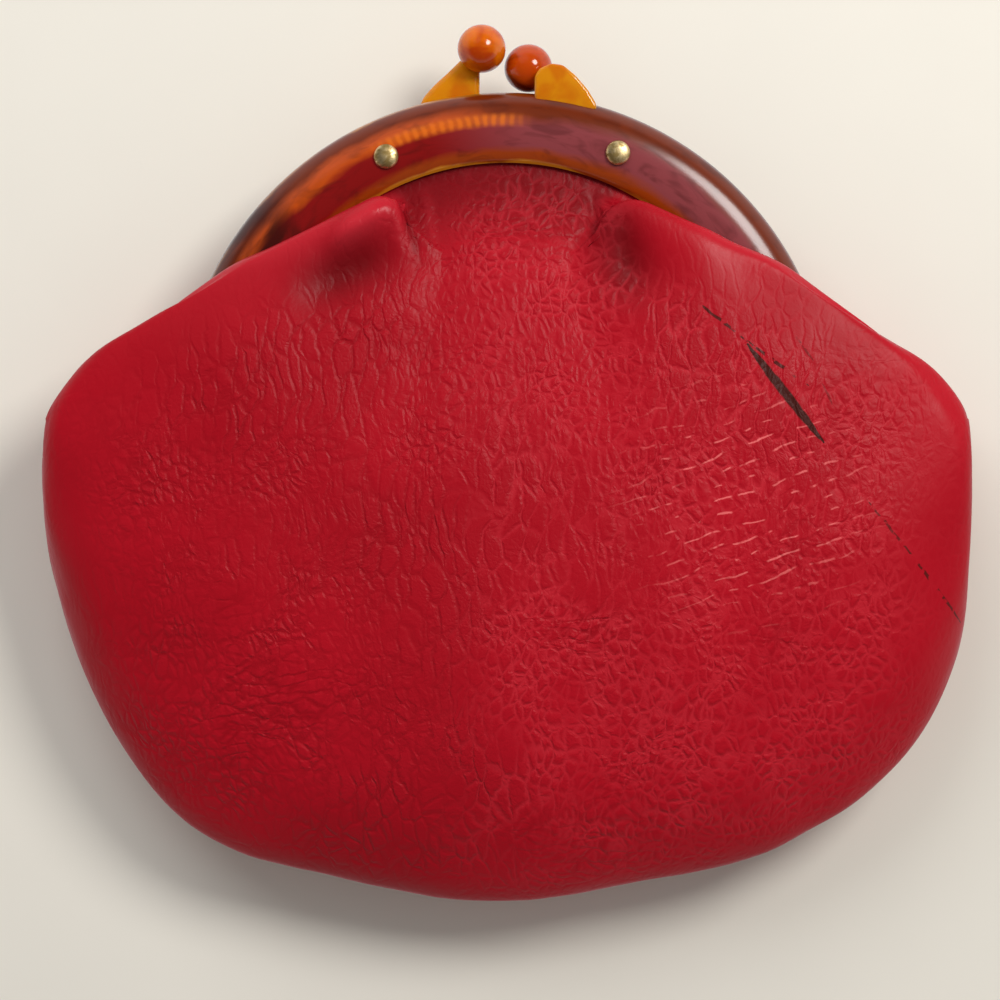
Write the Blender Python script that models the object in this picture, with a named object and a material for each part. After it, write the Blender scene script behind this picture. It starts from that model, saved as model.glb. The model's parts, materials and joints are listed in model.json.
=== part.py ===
"""A kiss lock coin purse: a leather pouch on a hinged, moulded amber frame with a ball clasp.

Metres, +Z up. The purse lies on its back panel. X runs to the right, Y from the pouch's foot to
the clasp. The hinge axis runs along X above the origin, at the height of the frame's parting plane.
Heights above that plane are called h. The back half has the same shapes with h turned over.
"""

import math

import bmesh
import bpy
from mathutils import Matrix, Vector

MM = 0.001
UP = Vector((0.0, 0.0, 1.0))

# Clearances
SEAT_GAP = 0.3 * MM
PIN_GAP = 0.15 * MM
HINGE_CLEARANCE = 0.8 * MM
OVERRUN = 6.0 * MM

# What the channel holds: leather, lining, the strip that clamps them, and the rivets' tails
LEATHER = 1.0 * MM
LINING = 0.4 * MM
STRIP = 0.5 * MM
STRIP_WIDTH = 6.0 * MM
RIVET_HEAD_R = 1.9 * MM
RIVET_HEAD_HEIGHT = 0.9 * MM
RIVET_SHANK_R = 0.9 * MM
RIVET_TAIL_R = 1.4 * MM
RIVET_TAIL_LENGTH = 0.4 * MM
TAIL_CLEARANCE = 0.4 * MM

# The same stack, as heights above the parting plane
PARTING_H = SEAT_GAP / 2
TAIL_H = TAIL_CLEARANCE + RIVET_TAIL_LENGTH
STRIP_H = TAIL_H + SEAT_GAP + STRIP
LINING_H = STRIP_H + SEAT_GAP + LINING
LEATHER_H = LINING_H + SEAT_GAP + LEATHER
CHANNEL_ROOF_H = LEATHER_H + SEAT_GAP

# Moulded frame half, as deep as its channel and its roof
FRAME_OUTER_R = 50.9 * MM
FRAME_BAND = 11.1 * MM
FRAME_WALL = 1.9 * MM
FRAME_ROOF = 1.9 * MM
FRAME_STEPS = 24
END_BLOCK_ANGLE = math.radians(6.0)
END_RECESS_SHARE = 0.55
FRAME_INNER_R = FRAME_OUTER_R - FRAME_BAND
FRAME_HALF_DEPTH = CHANNEL_ROOF_H + FRAME_ROOF
LEATHER_EDGE_INSET = 2.4 * MM
LEATHER_EDGE_R = FRAME_OUTER_R - FRAME_WALL - LEATHER_EDGE_INSET

# Hinge at the frame's two ends
EAR_R = 3.2 * MM
EAR_WIDTH = 2.6 * MM
EAR_INSET = 2.6 * MM
PIN_R = 1.0 * MM
PIN_HEAD_R = 1.8 * MM
PIN_HEAD_LENGTH = 0.6 * MM

# Clasp
BALL_R = 3.75 * MM
BALL_STANDOFF = 1.2 * MM
BACK_BALL_X = -3.8 * MM
BACK_BALL_RISE = 7.0 * MM
FRONT_BALL_X = 3.5 * MM
FRONT_BALL_RISE = 4.3 * MM
ARM_FOOT = 9.6 * MM
ARM_RISE = 6.6 * MM
ARM_DEPTH = 3.6 * MM
ARM_EDGE = 0.9 * MM
ARM_START_H = 0.6 * MM
ARM_SEAT_ANGLE = math.radians(30.0)
BACK_ARM_X = -4.1 * MM
FRONT_ARM_X = 4.4 * MM

# Rivets, on the circle that they share, a little inside the leather's edge
RIVET_INSET = 2.0 * MM
RIVET_CIRCLE_R = LEATHER_EDGE_R - RIVET_INSET
RIVET_LEFT_ANGLE = math.radians(-24.5)
RIVET_RIGHT_ANGLE = math.radians(22.7)

# Pouch. It lies on its back panel, so the parting plane is one belly's depth up
BELLY_DEPTH = 13.5 * MM
MID_Z = BELLY_DEPTH
BAG_HALF_WIDTH = 72.0 * MM
BAG_DROP = 74.6 * MM
SEAM_H = SEAT_GAP / 2
OVER_FRAME_H = FRAME_HALF_DEPTH + SEAT_GAP * 1.5
FOLD_HEIGHT = 4.0 * MM
LOBE_RISE = 3.6 * MM
FOLD_SETBACK = 1.5 * MM
OVER_SETBACK = 2.4 * MM
NECK_STEP = 1.7 * MM
LINING_INSET = LEATHER + SEAT_GAP * 2
LEATHER_END_ANGLE = math.radians(77.0)
SEAM_END_OUT = 1.2 * MM
SEAM_CLEARANCE = 1.4 * MM

# Where the front panel is parted into moving, folding and fixed leather, about the hinge axis
UPPER_EDGE_ANGLE = math.radians(45.0)
LOWER_EDGE_ANGLE = math.radians(135.0)
ZONE_START_ANGLE = math.radians(-60.0)
ZONE_END_ANGLE = math.radians(240.0)

# The frame's outer skin: share of the band from its outer edge, share of the half depth
FRAME_SKIN_SHARES = (
    (0.0, 0.40),
    (0.045, 0.62),
    (0.16, 0.84),
    (0.35, 0.97),
    (0.58, 1.0),
    (0.80, 0.955),
    (0.945, 0.86),
    (1.0, 0.76),
)

# The clasp arms' outlines: share of the foot's width away from the middle, share of the rise
BACK_ARM_SHARES = (
    (0.0, -0.40),
    (0.0, 1.02),
    (0.20, 1.02),
    (0.36, 0.78),
    (0.56, 0.50),
    (0.76, 0.24),
    (0.95, -0.08),
    (1.0, -0.40),
)
FRONT_ARM_SHARES = (
    (0.0, -0.45),
    (0.0, 0.36),
    (0.08, 0.54),
    (0.26, 0.66),
    (0.46, 0.62),
    (0.66, 0.38),
    (0.86, 0.04),
    (1.0, -0.30),
    (1.0, -0.45),
)

# The pouch's rim, from its left corner round the foot to its right corner: share of the leather's
# end angle, share of the half width, share of the drop
RIM_SHARES = (
    (-0.892, -0.964, -0.026),
    (-0.868, -0.988, -0.075),
    (-0.838, -1.000, -0.160),
    (-0.770, -0.988, -0.290),
    (-0.690, -0.934, -0.462),
    (-0.600, -0.842, -0.652),
    (-0.500, -0.715, -0.812),
    (-0.395, -0.555, -0.905),
    (-0.290, -0.380, -0.948),
    (-0.180, -0.215, -0.982),
    (-0.070, -0.070, -1.0),
    (0.040, 0.075, -0.994),
    (0.150, 0.230, -0.968),
    (0.260, 0.400, -0.940),
    (0.365, 0.560, -0.896),
    (0.465, 0.711, -0.822),
    (0.565, 0.838, -0.722),
    (0.660, 0.934, -0.590),
    (0.745, 0.990, -0.430),
    (0.815, 0.998, -0.250),
    (0.845, 0.998, -0.130),
    (0.870, 0.991, -0.070),
    (0.892, 0.977, -0.026),
)

# Where each rib turns over to make the lobe's fold. Places are shares of the line from the frame's
# lip to the pouch's corner: share of the leather's end angle, share along the line, share of its
# length out from it, share of the height over the frame
CREST_SHARES = (
    (0.31, 0.0, -0.045, 1.10),
    (0.40, 0.0, -0.030, 1.20),
    (0.50, 0.005, -0.008, 1.28),
    (0.58, 0.015, 0.018, 1.30),
    (0.665, 0.046, 0.066, 1.26),
    (0.74, 0.139, 0.140, 1.26),
    (0.80, 0.300, 0.168, 1.20),
    (0.838, 0.497, 0.175, 1.05),
    (0.868, 0.734, 0.150, 0.80),
    (0.892, 0.898, 0.085, 0.52),
)

# The single wall from the corner round the hinge: share of the leather's end angle, share of the
# way from the corner to the seam's end, then shares of the ear's radius for the seam's bow, and for
# how far the wall's shoulder stands in front of the hinge axis and above it
WALL_SHARES = (
    (0.922, 0.19, 0.04, 0.99, 1.25),
    (0.948, 0.43, 0.21, 0.57, 1.45),
    (0.974, 0.71, 0.25, 0.22, 1.60),
    (1.0, 1.0, 0.0, 0.06, 1.68),
)

# The neck's section between the rivets, in steps inwards from the lip and up from the channel
NECK_SHARES = (
    (1.0, 0.15),
    (2.0, 0.45),
    (3.0, 0.85),
    (4.1, 1.3),
    (5.4, 1.85),
    (6.8, 2.4),
    (8.2, 2.9),
)

# The belly's section from the neck to the rim: share of the way, share of the front's depth and
# share of the back's, which lies flat past 1
BELLY_SHARES = (
    (0.14, 0.86, 1.02),
    (0.34, 0.97, 1.06),
    (0.62, 1.0, 1.06),
    (0.84, 0.76, 0.94),
    (0.955, 0.42, 0.48),
    (1.0, 0.14, 0.14),
)

BACK_TURN_SHARE = 0.14
FOLD_RANGE_SHARES = (0.305, 0.385)
OVER_RANGE_SHARES = (0.38, 0.60)
SHORT_LYING_SHARE = 0.45
SHORT_NOSE_SHARE = 0.8
WALL_RANGE_SHARES = (0.855, 0.895)
LOBE_RANGE_SHARES = (0.55, 0.86)
LOBE_LIFT_SHARES = (0.12, 0.20)
CORNER_DEPTH_SHARE = 0.45
CORNER_RANGE_SHARES = (0.78, 0.90)

LINING_REACH_SHARE = 0.96
LINING_RANGE_SHARES = (0.45, 0.80)
LINING_END_SHARES = (0.78, 0.96)
LINING_DEPTH_SHARE = 0.62
LINING_GATE_SHARE = 1.08

LEATHER_RIBS = 31
LINING_RIBS = 17

AMBER = (0.42, 0.10, 0.012, 1.0)
AMBER_PALE = (0.62, 0.24, 0.03, 1.0)
AMBER_DEEP = (0.50, 0.10, 0.01, 1.0)
BRASS = (0.36, 0.25, 0.10, 1.0)
STEEL = (0.45, 0.44, 0.42, 1.0)
RED = (0.40, 0.02, 0.035, 1.0)
CLOTH = (0.20, 0.03, 0.03, 1.0)


# Small helpers

def clear_scene():
    for obj in list(bpy.data.objects):
        bpy.data.objects.remove(obj, do_unlink=True)


def material(name, colour, roughness, metallic=0.0):
    made = bpy.data.materials.new(name)
    made.use_nodes = True
    shader = made.node_tree.nodes["Principled BSDF"]
    shader.inputs["Base Color"].default_value = colour
    shader.inputs["Roughness"].default_value = roughness
    shader.inputs["Metallic"].default_value = metallic
    return made


def finish_object(name, bm, surface, parent=None):
    """Make the object of a bmesh, in world coordinates, under a parent that carries it."""
    mesh = bpy.data.meshes.new(name)
    bm.to_mesh(mesh)
    bm.free()
    obj = bpy.data.objects.new(name, mesh)
    bpy.context.collection.objects.link(obj)
    if surface:
        mesh.materials.append(surface)
    if parent:
        mesh.transform(Matrix.Translation(-parent.location))
        obj.parent = parent
    return obj


def shade_round(obj):
    obj.data.shade_smooth()
    obj.data.set_sharp_from_angle(angle=math.radians(35.0))


def as_cutter(obj):
    obj.hide_render = True
    obj.display_type = "WIRE"
    return obj


def boolean(obj, other, operation):
    step = obj.modifiers.new(operation.title(), "BOOLEAN")
    step.object = as_cutter(other)
    step.operation = operation
    step.solver = "EXACT"


def smooth_step(low, high, value):
    share = min(max((value - low) / (high - low), 0.0), 1.0)
    return share * share * (3.0 - 2.0 * share)


def table_value(table, key, column):
    """Read a table of shares between its rows, in a straight line."""
    rows = list(zip(table, table[1:]))
    for low, high in rows:
        if key <= high[0]:
            break
    share = min(max((key - low[0]) / (high[0] - low[0]), 0.0), 1.0)
    return low[column] + (high[column] - low[column]) * share


def spline_point(points, position):
    """A point on the smooth curve through the points, which position counts."""
    last = len(points) - 1
    index = min(int(position), last - 1)
    t = position - index
    p1, p2 = points[index], points[index + 1]
    p0 = points[index - 1] if index > 0 else p1 * 2 - p2
    p3 = points[index + 2] if index + 2 <= last else p2 * 2 - p1
    pull_in = (p2 - p0) / 2
    pull_out = (p3 - p1) / 2
    return (
        p1 * (2 * t**3 - 3 * t**2 + 1)
        + pull_in * (t**3 - 2 * t**2 + t)
        + p2 * (3 * t**2 - 2 * t**3)
        + pull_out * (t**3 - t**2)
    )


def at_angle(radius, angle):
    """A place on the plan, at an angle from the Y axis towards +X."""
    return Vector((radius * math.sin(angle), radius * math.cos(angle), 0.0))


def on_plane(plan, h, side):
    """Raise a plan point to h before or behind the parting plane."""
    return Vector((plan.x, plan.y, MID_Z + side * h))


def extrude_outline(points, offset):
    """A prism from a flat outline, with its faces turned outwards."""
    bm = bmesh.new()
    face = bm.faces.new([bm.verts.new(point) for point in points])
    moved = bmesh.ops.extrude_face_region(bm, geom=[face])["geom"]
    verts = [item for item in moved if isinstance(item, bmesh.types.BMVert)]
    bmesh.ops.translate(bm, verts=verts, vec=offset)
    bmesh.ops.recalc_face_normals(bm, faces=bm.faces)
    return bm


def sweep_section(section, angle, steps):
    """Spin a section of (radius, h) pairs round the hinge's middle, from -angle to +angle."""
    bm = bmesh.new()
    verts = [bm.verts.new((0.0, radius, h)) for radius, h in section]
    face = bm.faces.new(verts)
    bmesh.ops.rotate(bm, verts=bm.verts, cent=(0, 0, 0), matrix=Matrix.Rotation(angle, 3, UP))
    bmesh.ops.spin(
        bm,
        geom=[face] + list(face.edges) + verts,
        cent=(0, 0, 0),
        axis=-UP,
        dvec=(0, 0, 0),
        angle=2 * angle,
        steps=steps,
        use_merge=False,
        use_duplicate=False,
    )
    bmesh.ops.recalc_face_normals(bm, faces=bm.faces)
    return bm


def place_half(bm, side):
    """Lift a half that was built with h as Z, and turn it over for the back."""
    if side < 0:
        bmesh.ops.scale(bm, vec=(1, 1, -1), verts=bm.verts)
        bmesh.ops.reverse_faces(bm, faces=bm.faces)
    bmesh.ops.translate(bm, verts=bm.verts, vec=UP * MID_Z)
    return bm


# Frame

def skin_points(grow=0.0):
    """The outer skin's section, from the parting plane over to the inner edge, as (radius, h)."""
    points = [(FRAME_OUTER_R + grow, PARTING_H)]
    for inward, height in FRAME_SKIN_SHARES:
        lean = inward * math.pi
        radius = FRAME_OUTER_R - inward * FRAME_BAND + grow * math.cos(lean)
        points.append((radius, height * FRAME_HALF_DEPTH + grow * math.sin(lean)))
    return points


def channel_points():
    """The channel's section, from the inner lip back to the parting plane."""
    wall_r = FRAME_OUTER_R - FRAME_WALL
    round_off = FRAME_WALL * 0.7
    return [
        (FRAME_INNER_R + SEAT_GAP / 2, CHANNEL_ROOF_H),
        (wall_r - round_off, CHANNEL_ROOF_H),
        (wall_r - round_off / 3, CHANNEL_ROOF_H - round_off / 3),
        (wall_r, CHANNEL_ROOF_H - round_off),
        (wall_r, PARTING_H),
    ]


def solid_section(grow=0.0):
    return skin_points(grow) + [(FRAME_INNER_R - grow, PARTING_H)]


def block_section():
    """The filling of the channel's end, which reaches half way into its wall and its roof."""
    wall_r = FRAME_OUTER_R - FRAME_WALL / 2
    roof_h = CHANNEL_ROOF_H + FRAME_ROOF / 3
    inner_r = FRAME_INNER_R + SEAT_GAP
    return [(wall_r, PARTING_H), (wall_r, roof_h), (inner_r, roof_h), (inner_r, PARTING_H)]


def frame_end_angle():
    """Where the ring stops, so that it clears the ears of the other half."""
    mid_r = FRAME_OUTER_R - FRAME_BAND / 2
    return math.acos((EAR_R + HINGE_CLEARANCE) / mid_r)


def ear_start(front):
    """How far from the middle plane the inner face of an ear stands."""
    start = FRAME_INNER_R + EAR_INSET
    return start if front else start + EAR_WIDTH + SEAT_GAP


def make_ear(front, hand):
    """A round ear with a tongue that runs up into the frame's end block."""
    reach = EAR_R + HINGE_CLEARANCE + EAR_R
    steps = 16
    start = math.asin(PARTING_H / EAR_R)
    outline = [(reach, PARTING_H)]
    for i in range(steps + 1):
        turn = start - (start + 1.5 * math.pi) * i / steps
        outline.append((EAR_R * math.cos(turn), EAR_R * math.sin(turn)))
    outline.append((reach, EAR_R))
    x = hand * ear_start(front)
    points = [(x, y, h) for y, h in outline]
    return extrude_outline(points, Vector((hand * EAR_WIDTH, 0, 0)))


def round_bar(start, end, radius, segments=16):
    """A plain round bar between two points."""
    start, end = Vector(start), Vector(end)
    turn = UP.rotation_difference(end - start).to_matrix().to_4x4()
    bm = bmesh.new()
    bmesh.ops.create_cone(
        bm,
        cap_ends=True,
        segments=segments,
        radius1=radius,
        radius2=radius,
        depth=(end - start).length,
        matrix=Matrix.Translation((start + end) / 2) @ turn,
    )
    return bm


def turned(points, axis, steps):
    """Spin a profile that starts and ends on an axis through the origin."""
    bm = bmesh.new()
    verts = [bm.verts.new(point) for point in points]
    edges = [bm.edges.new(pair) for pair in zip(verts, verts[1:])]
    bmesh.ops.spin(
        bm,
        geom=verts + edges,
        cent=(0, 0, 0),
        axis=axis,
        dvec=(0, 0, 0),
        angle=2 * math.pi,
        steps=steps,
        use_merge=True,
        use_duplicate=False,
    )
    bmesh.ops.remove_doubles(bm, verts=bm.verts, dist=SEAT_GAP / 100)
    bmesh.ops.recalc_face_normals(bm, faces=bm.faces)
    return bm


def rivet_places():
    return (("left", RIVET_LEFT_ANGLE), ("right", RIVET_RIGHT_ANGLE))


def rivet_hole_cutters():
    """One bar through the whole stack at each rivet, which every layer is cut with."""
    cutters = []
    for hand, angle in rivet_places():
        plan = at_angle(RIVET_CIRCLE_R, angle)
        low = plan + UP * (MID_Z - FRAME_HALF_DEPTH - OVERRUN)
        high = plan + UP * (MID_Z + FRAME_HALF_DEPTH + OVERRUN)
        bm = round_bar(low, high, RIVET_SHANK_R + SEAT_GAP, 12)
        cutters.append(as_cutter(finish_object("rivet_hole_" + hand, bm, None)))
    return cutters


def pin_hole_cutters():
    cutters = []
    for hand in (-1, 1):
        start = Vector((hand * (FRAME_INNER_R - OVERRUN), 0, MID_Z))
        end = Vector((hand * (FRAME_OUTER_R + OVERRUN), 0, MID_Z))
        bm = round_bar(start, end, PIN_R + PIN_GAP)
        cutters.append(as_cutter(finish_object("pin_hole_cut", bm, None)))
    return cutters


def make_frame_half(name, front, parent, rivet_holes, pin_holes):
    """The moulded half: a domed channel, a solid block at each end and the hinge ears."""
    side = 1 if front else -1
    end = frame_end_angle()
    ring = sweep_section(skin_points() + channel_points(), end, FRAME_STEPS)
    amber = material(name, AMBER, 0.18)
    obj = finish_object(name, place_half(ring, side), amber, parent)
    for hand in (-1, 1):
        block = sweep_section(block_section(), END_BLOCK_ANGLE / 2, 2)
        turn = Matrix.Rotation(-hand * (end - END_BLOCK_ANGLE * END_RECESS_SHARE), 3, UP)
        bmesh.ops.rotate(block, verts=block.verts, cent=(0, 0, 0), matrix=turn)
        boolean(obj, finish_object(name + "_block", place_half(block, side), None), "UNION")
        ear = place_half(make_ear(front, hand), side)
        boolean(obj, finish_object(name + "_ear", ear, None), "UNION")
    for cutter in rivet_holes + pin_holes:
        boolean(obj, cutter, "DIFFERENCE")
    shade_round(obj)
    return obj


def make_pin(name, hand, parent):
    """A hinge pin with a flat head outside each pair of ears."""
    inner = ear_start(True) - SEAT_GAP
    outer = ear_start(False) + EAR_WIDTH + SEAT_GAP
    profile = (
        (inner - PIN_HEAD_LENGTH, 0.0),
        (inner - PIN_HEAD_LENGTH, PIN_HEAD_R),
        (inner, PIN_HEAD_R),
        (inner, PIN_R),
        (outer, PIN_R),
        (outer, PIN_HEAD_R),
        (outer + PIN_HEAD_LENGTH, PIN_HEAD_R),
        (outer + PIN_HEAD_LENGTH, 0.0),
    )
    points = [Vector((hand * x, 0.0, radius)) for x, radius in profile]
    bm = turned(points, Vector((1, 0, 0)), 16)
    bmesh.ops.translate(bm, verts=bm.verts, vec=UP * MID_Z)
    obj = finish_object(name, bm, material(name, BRASS, 0.35, 1.0), parent)
    shade_round(obj)
    return obj


def make_rivet(name, front, angle, parent):
    """A domed rivet, its shank through the whole stack and its tail spread on the strip."""
    seat_h = FRAME_HALF_DEPTH + SEAT_GAP
    profile = [(0.0, seat_h + RIVET_HEAD_HEIGHT)]
    steps = 3
    for i in range(1, steps + 1):
        lean = math.pi / 2 * i / steps
        profile.append((RIVET_HEAD_R * math.sin(lean), seat_h + RIVET_HEAD_HEIGHT * math.cos(lean)))
    profile += [
        (RIVET_SHANK_R, seat_h),
        (RIVET_SHANK_R, TAIL_H),
        (RIVET_TAIL_R, TAIL_H),
        (RIVET_TAIL_R, TAIL_H - RIVET_TAIL_LENGTH),
        (0.0, TAIL_H - RIVET_TAIL_LENGTH),
    ]
    bm = turned([Vector((radius, 0.0, h)) for radius, h in profile], UP, 14)
    bmesh.ops.translate(bm, verts=bm.verts, vec=at_angle(RIVET_CIRCLE_R, angle))
    obj = finish_object(
        name, place_half(bm, 1 if front else -1), material(name, BRASS, 0.35, 1.0), parent
    )
    shade_round(obj)
    return obj


def make_strip(name, front, parent, rivet_holes):
    """The flat metal strip that the rivets pull against the lining's edge."""
    outer_r = LEATHER_EDGE_R + SEAT_GAP
    section = [
        (outer_r, STRIP_H),
        (outer_r - STRIP_WIDTH, STRIP_H),
        (outer_r - STRIP_WIDTH, STRIP_H - STRIP),
        (outer_r, STRIP_H - STRIP),
    ]
    bm = sweep_section(section, LEATHER_END_ANGLE, 24)
    obj = finish_object(
        name, place_half(bm, 1 if front else -1), material(name, STEEL, 0.4, 1.0), parent
    )
    for cutter in rivet_holes:
        boolean(obj, cutter, "DIFFERENCE")
    return obj


# Clasp

def ball_centre(front):
    x = FRONT_BALL_X if front else BACK_BALL_X
    rise = FRONT_BALL_RISE if front else BACK_BALL_RISE
    standoff = -BALL_STANDOFF if front else BALL_STANDOFF
    return Vector((x, FRAME_OUTER_R + rise, MID_Z + standoff))


def ball_mesh(centre, radius):
    bm = bmesh.new()
    bmesh.ops.create_uvsphere(
        bm, u_segments=18, v_segments=10, radius=radius, matrix=Matrix.Translation(centre)
    )
    return bm


def make_ball(name, front, parent):
    obj = finish_object(
        name, ball_mesh(ball_centre(front), BALL_R), material(name, AMBER_DEEP, 0.12), parent
    )
    shade_round(obj)
    return obj


def make_arm(name, front, parent):
    """The fin that stands on the frame's rim, hollowed where its ball seats in it."""
    side = 1 if front else -1
    shares = FRONT_ARM_SHARES if front else BACK_ARM_SHARES
    foot_x = FRONT_ARM_X if front else BACK_ARM_X
    outline = [
        (foot_x + side * across * ARM_FOOT, FRAME_OUTER_R + up * ARM_RISE, ARM_START_H)
        for across, up in shares
    ]
    bm = extrude_outline(outline, UP * ARM_DEPTH)
    bmesh.ops.bevel(
        bm,
        geom=list(bm.edges),
        offset=ARM_EDGE,
        offset_type="OFFSET",
        affect="EDGES",
        segments=2,
        profile=0.5,
        material=-1,
        clamp_overlap=True,
    )
    obj = finish_object(name, place_half(bm, side), material(name, AMBER_PALE, 0.15), parent)
    seat = place_half(sweep_section(solid_section(SEAT_GAP), ARM_SEAT_ANGLE, 12), side)
    boolean(obj, finish_object(name + "_seat", seat, None), "DIFFERENCE")
    cup = ball_mesh(ball_centre(front), BALL_R + SEAT_GAP)
    boolean(obj, finish_object(name + "_cup", cup, None), "DIFFERENCE")
    shade_round(obj)
    return obj


# Pouch

def corner_point(hand):
    """Where the rim turns in towards a hinge."""
    share, across, down = RIM_SHARES[-1 if hand > 0 else 0]
    return Vector((across * BAG_HALF_WIDTH, down * BAG_DROP, 0.0))


def seam_end(hand):
    """Where the seam ends, below a hinge."""
    return Vector((hand * (FRAME_INNER_R + SEAM_END_OUT), -EAR_R - SEAM_CLEARANCE, 0.0))


def wall_rim(row, hand):
    """The rim's place for one row of the wall between corner and hinge."""
    plan = corner_point(hand).lerp(seam_end(hand), row[1])
    plan.y -= row[2] * EAR_R
    return plan


def rim_table():
    """The whole rim, as pairs of an angle share and a plan place."""
    rows = [(-row[0], wall_rim(row, -1)) for row in reversed(WALL_SHARES)]
    for share, across, down in RIM_SHARES:
        rows.append((share, Vector((across * BAG_HALF_WIDTH, down * BAG_DROP, 0.0))))
    rows += [(row[0], wall_rim(row, 1)) for row in WALL_SHARES]
    return rows


RIM = rim_table()


def rim_row(angle_share):
    """The rim's plan place for a rib, on a smooth curve through the table."""
    for index, (low, high) in enumerate(zip(RIM, RIM[1:])):
        if angle_share <= high[0]:
            break
    share = (angle_share - low[0]) / (high[0] - low[0])
    return spline_point([plan for row_share, plan in RIM], index + min(max(share, 0.0), 1.0))


def rib_share(index, count):
    """Spread the ribs along the rim table, so that its corners keep their ribs."""
    position = index * (len(RIM) - 1) / (count - 1)
    row = min(int(position), len(RIM) - 2)
    low, high = RIM[row][0], RIM[row + 1][0]
    return low + (high - low) * (position - row)


def fold_crest(reach, hand):
    """The plan place and the height of the lobe's fold on one rib."""
    lip = at_angle(FRAME_INNER_R + SEAT_GAP * 3, hand * reach * LEATHER_END_ANGLE)
    run = corner_point(hand) - lip
    out = Vector((-run.y, run.x, 0.0)) * hand
    plan = lip + run * table_value(CREST_SHARES, reach, 1) + out * table_value(CREST_SHARES, reach, 2)
    return plan, table_value(CREST_SHARES, reach, 3) * OVER_FRAME_H


def crest_point(angle_share):
    """The plan place and the height where a rib turns over."""
    reach = max(abs(angle_share), CREST_SHARES[0][0])
    hand = math.copysign(1.0, angle_share)
    corner_reach = CREST_SHARES[-1][0]
    if reach <= corner_reach:
        return fold_crest(reach, hand)
    rows = [(corner_reach,) + fold_crest(corner_reach, hand)]
    for row in WALL_SHARES:
        plan = wall_rim(row, hand)
        plan.y = row[3] * EAR_R
        rows.append((row[0], plan, row[4] * EAR_R))
    for low, high in zip(rows, rows[1:]):
        if reach <= high[0]:
            break
    share = min((reach - low[0]) / (high[0] - low[0]), 1.0)
    return low[1].lerp(high[1], share), low[2] + (high[2] - low[2]) * share


def leather_rib(angle_share, side):
    """The outer face of the leather along one rib, from the channel to the rim.

    Between the rivets it runs straight on to the belly. Past them it stands up just inside the
    frame's lip and folds. Towards the hinges it turns back over the lip, lies on the frame, folds
    at the lobe's crest and comes down to the rim. The last ribs have no fold: they are the wall
    between the lobes, and end at the seam behind it.
    """
    angle = angle_share * LEATHER_END_ANGLE
    reach = abs(angle_share)
    fold = smooth_step(*FOLD_RANGE_SHARES, reach)
    wall = smooth_step(*WALL_RANGE_SHARES, reach)
    lip = FRAME_INNER_R
    rim = rim_row(angle_share)
    path = [
        on_plane(at_angle(LEATHER_EDGE_R, angle), LEATHER_H, side),
        on_plane(at_angle(lip - SEAT_GAP, angle), LEATHER_H, side),
    ]
    plain = [
        on_plane(at_angle(lip - NECK_STEP * inward, angle), LEATHER_H + NECK_STEP * up, side)
        for inward, up in NECK_SHARES
    ]
    crest, crest_h = crest_point(angle_share)
    short_of_lip = OVER_SETBACK * (1 - smooth_step(*OVER_RANGE_SHARES, reach))
    over = at_angle(lip + SEAT_GAP * 3 - short_of_lip, angle)
    outward = (crest - over + at_angle(FOLD_HEIGHT, angle)).normalized()
    top = crest - outward * FOLD_SETBACK
    lying_h = OVER_FRAME_H + SEAT_GAP / 2
    nose_h = max(crest_h - FOLD_HEIGHT / 2, 0.0)
    if crest.length < FRAME_OUTER_R:
        nose_h = max(nose_h, lying_h)
    nose_h += ((lying_h + crest_h) / 2 - nose_h) * wall
    short = 1 - min((crest - over).length / FOLD_HEIGHT, 1.0)
    crest_rise = crest_h - OVER_FRAME_H
    lying_h += (OVER_FRAME_H + crest_rise * SHORT_LYING_SHARE - lying_h) * short
    nose_h += (OVER_FRAME_H + crest_rise * SHORT_NOSE_SHARE - nose_h) * short
    past_roof = at_angle(lip - SEAT_GAP * 3 - short_of_lip / 3, angle)
    past_skin = at_angle(lip - SEAT_GAP * 2.4 - short_of_lip / 2, angle)
    folded = [
        on_plane(past_roof, CHANNEL_ROOF_H + SEAT_GAP, side),
        on_plane(past_skin, FRAME_HALF_DEPTH - SEAT_GAP * 2, side),
        on_plane(over, OVER_FRAME_H, side),
        on_plane(over.lerp(crest, 0.5), lying_h, side),
        on_plane(over.lerp(crest, 0.84), nose_h, side),
        on_plane(crest, crest_h, side),
        on_plane(top, crest_h + FOLD_HEIGHT / 2, side),
    ]
    path += [a.lerp(b, fold) for a, b in zip(plain, folded)]
    belly = belly_run(path[-1], rim, angle_share, side)
    if wall > 0:
        path[-1] = path[-1].lerp(on_plane(crest.lerp(rim, 0.08), crest_h * 0.97, side), wall)
        behind = []
        for i in range(1, len(belly) + 1):
            turn = math.pi / 2 * (0.1 + 0.9 * i / len(belly))
            plan = crest.lerp(rim, math.sin(turn))
            behind.append(on_plane(plan, SEAM_H + (crest_h - SEAM_H) * math.cos(turn), side))
        belly = [a.lerp(b, wall) for a, b in zip(belly, behind)]
    return path + belly


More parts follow.
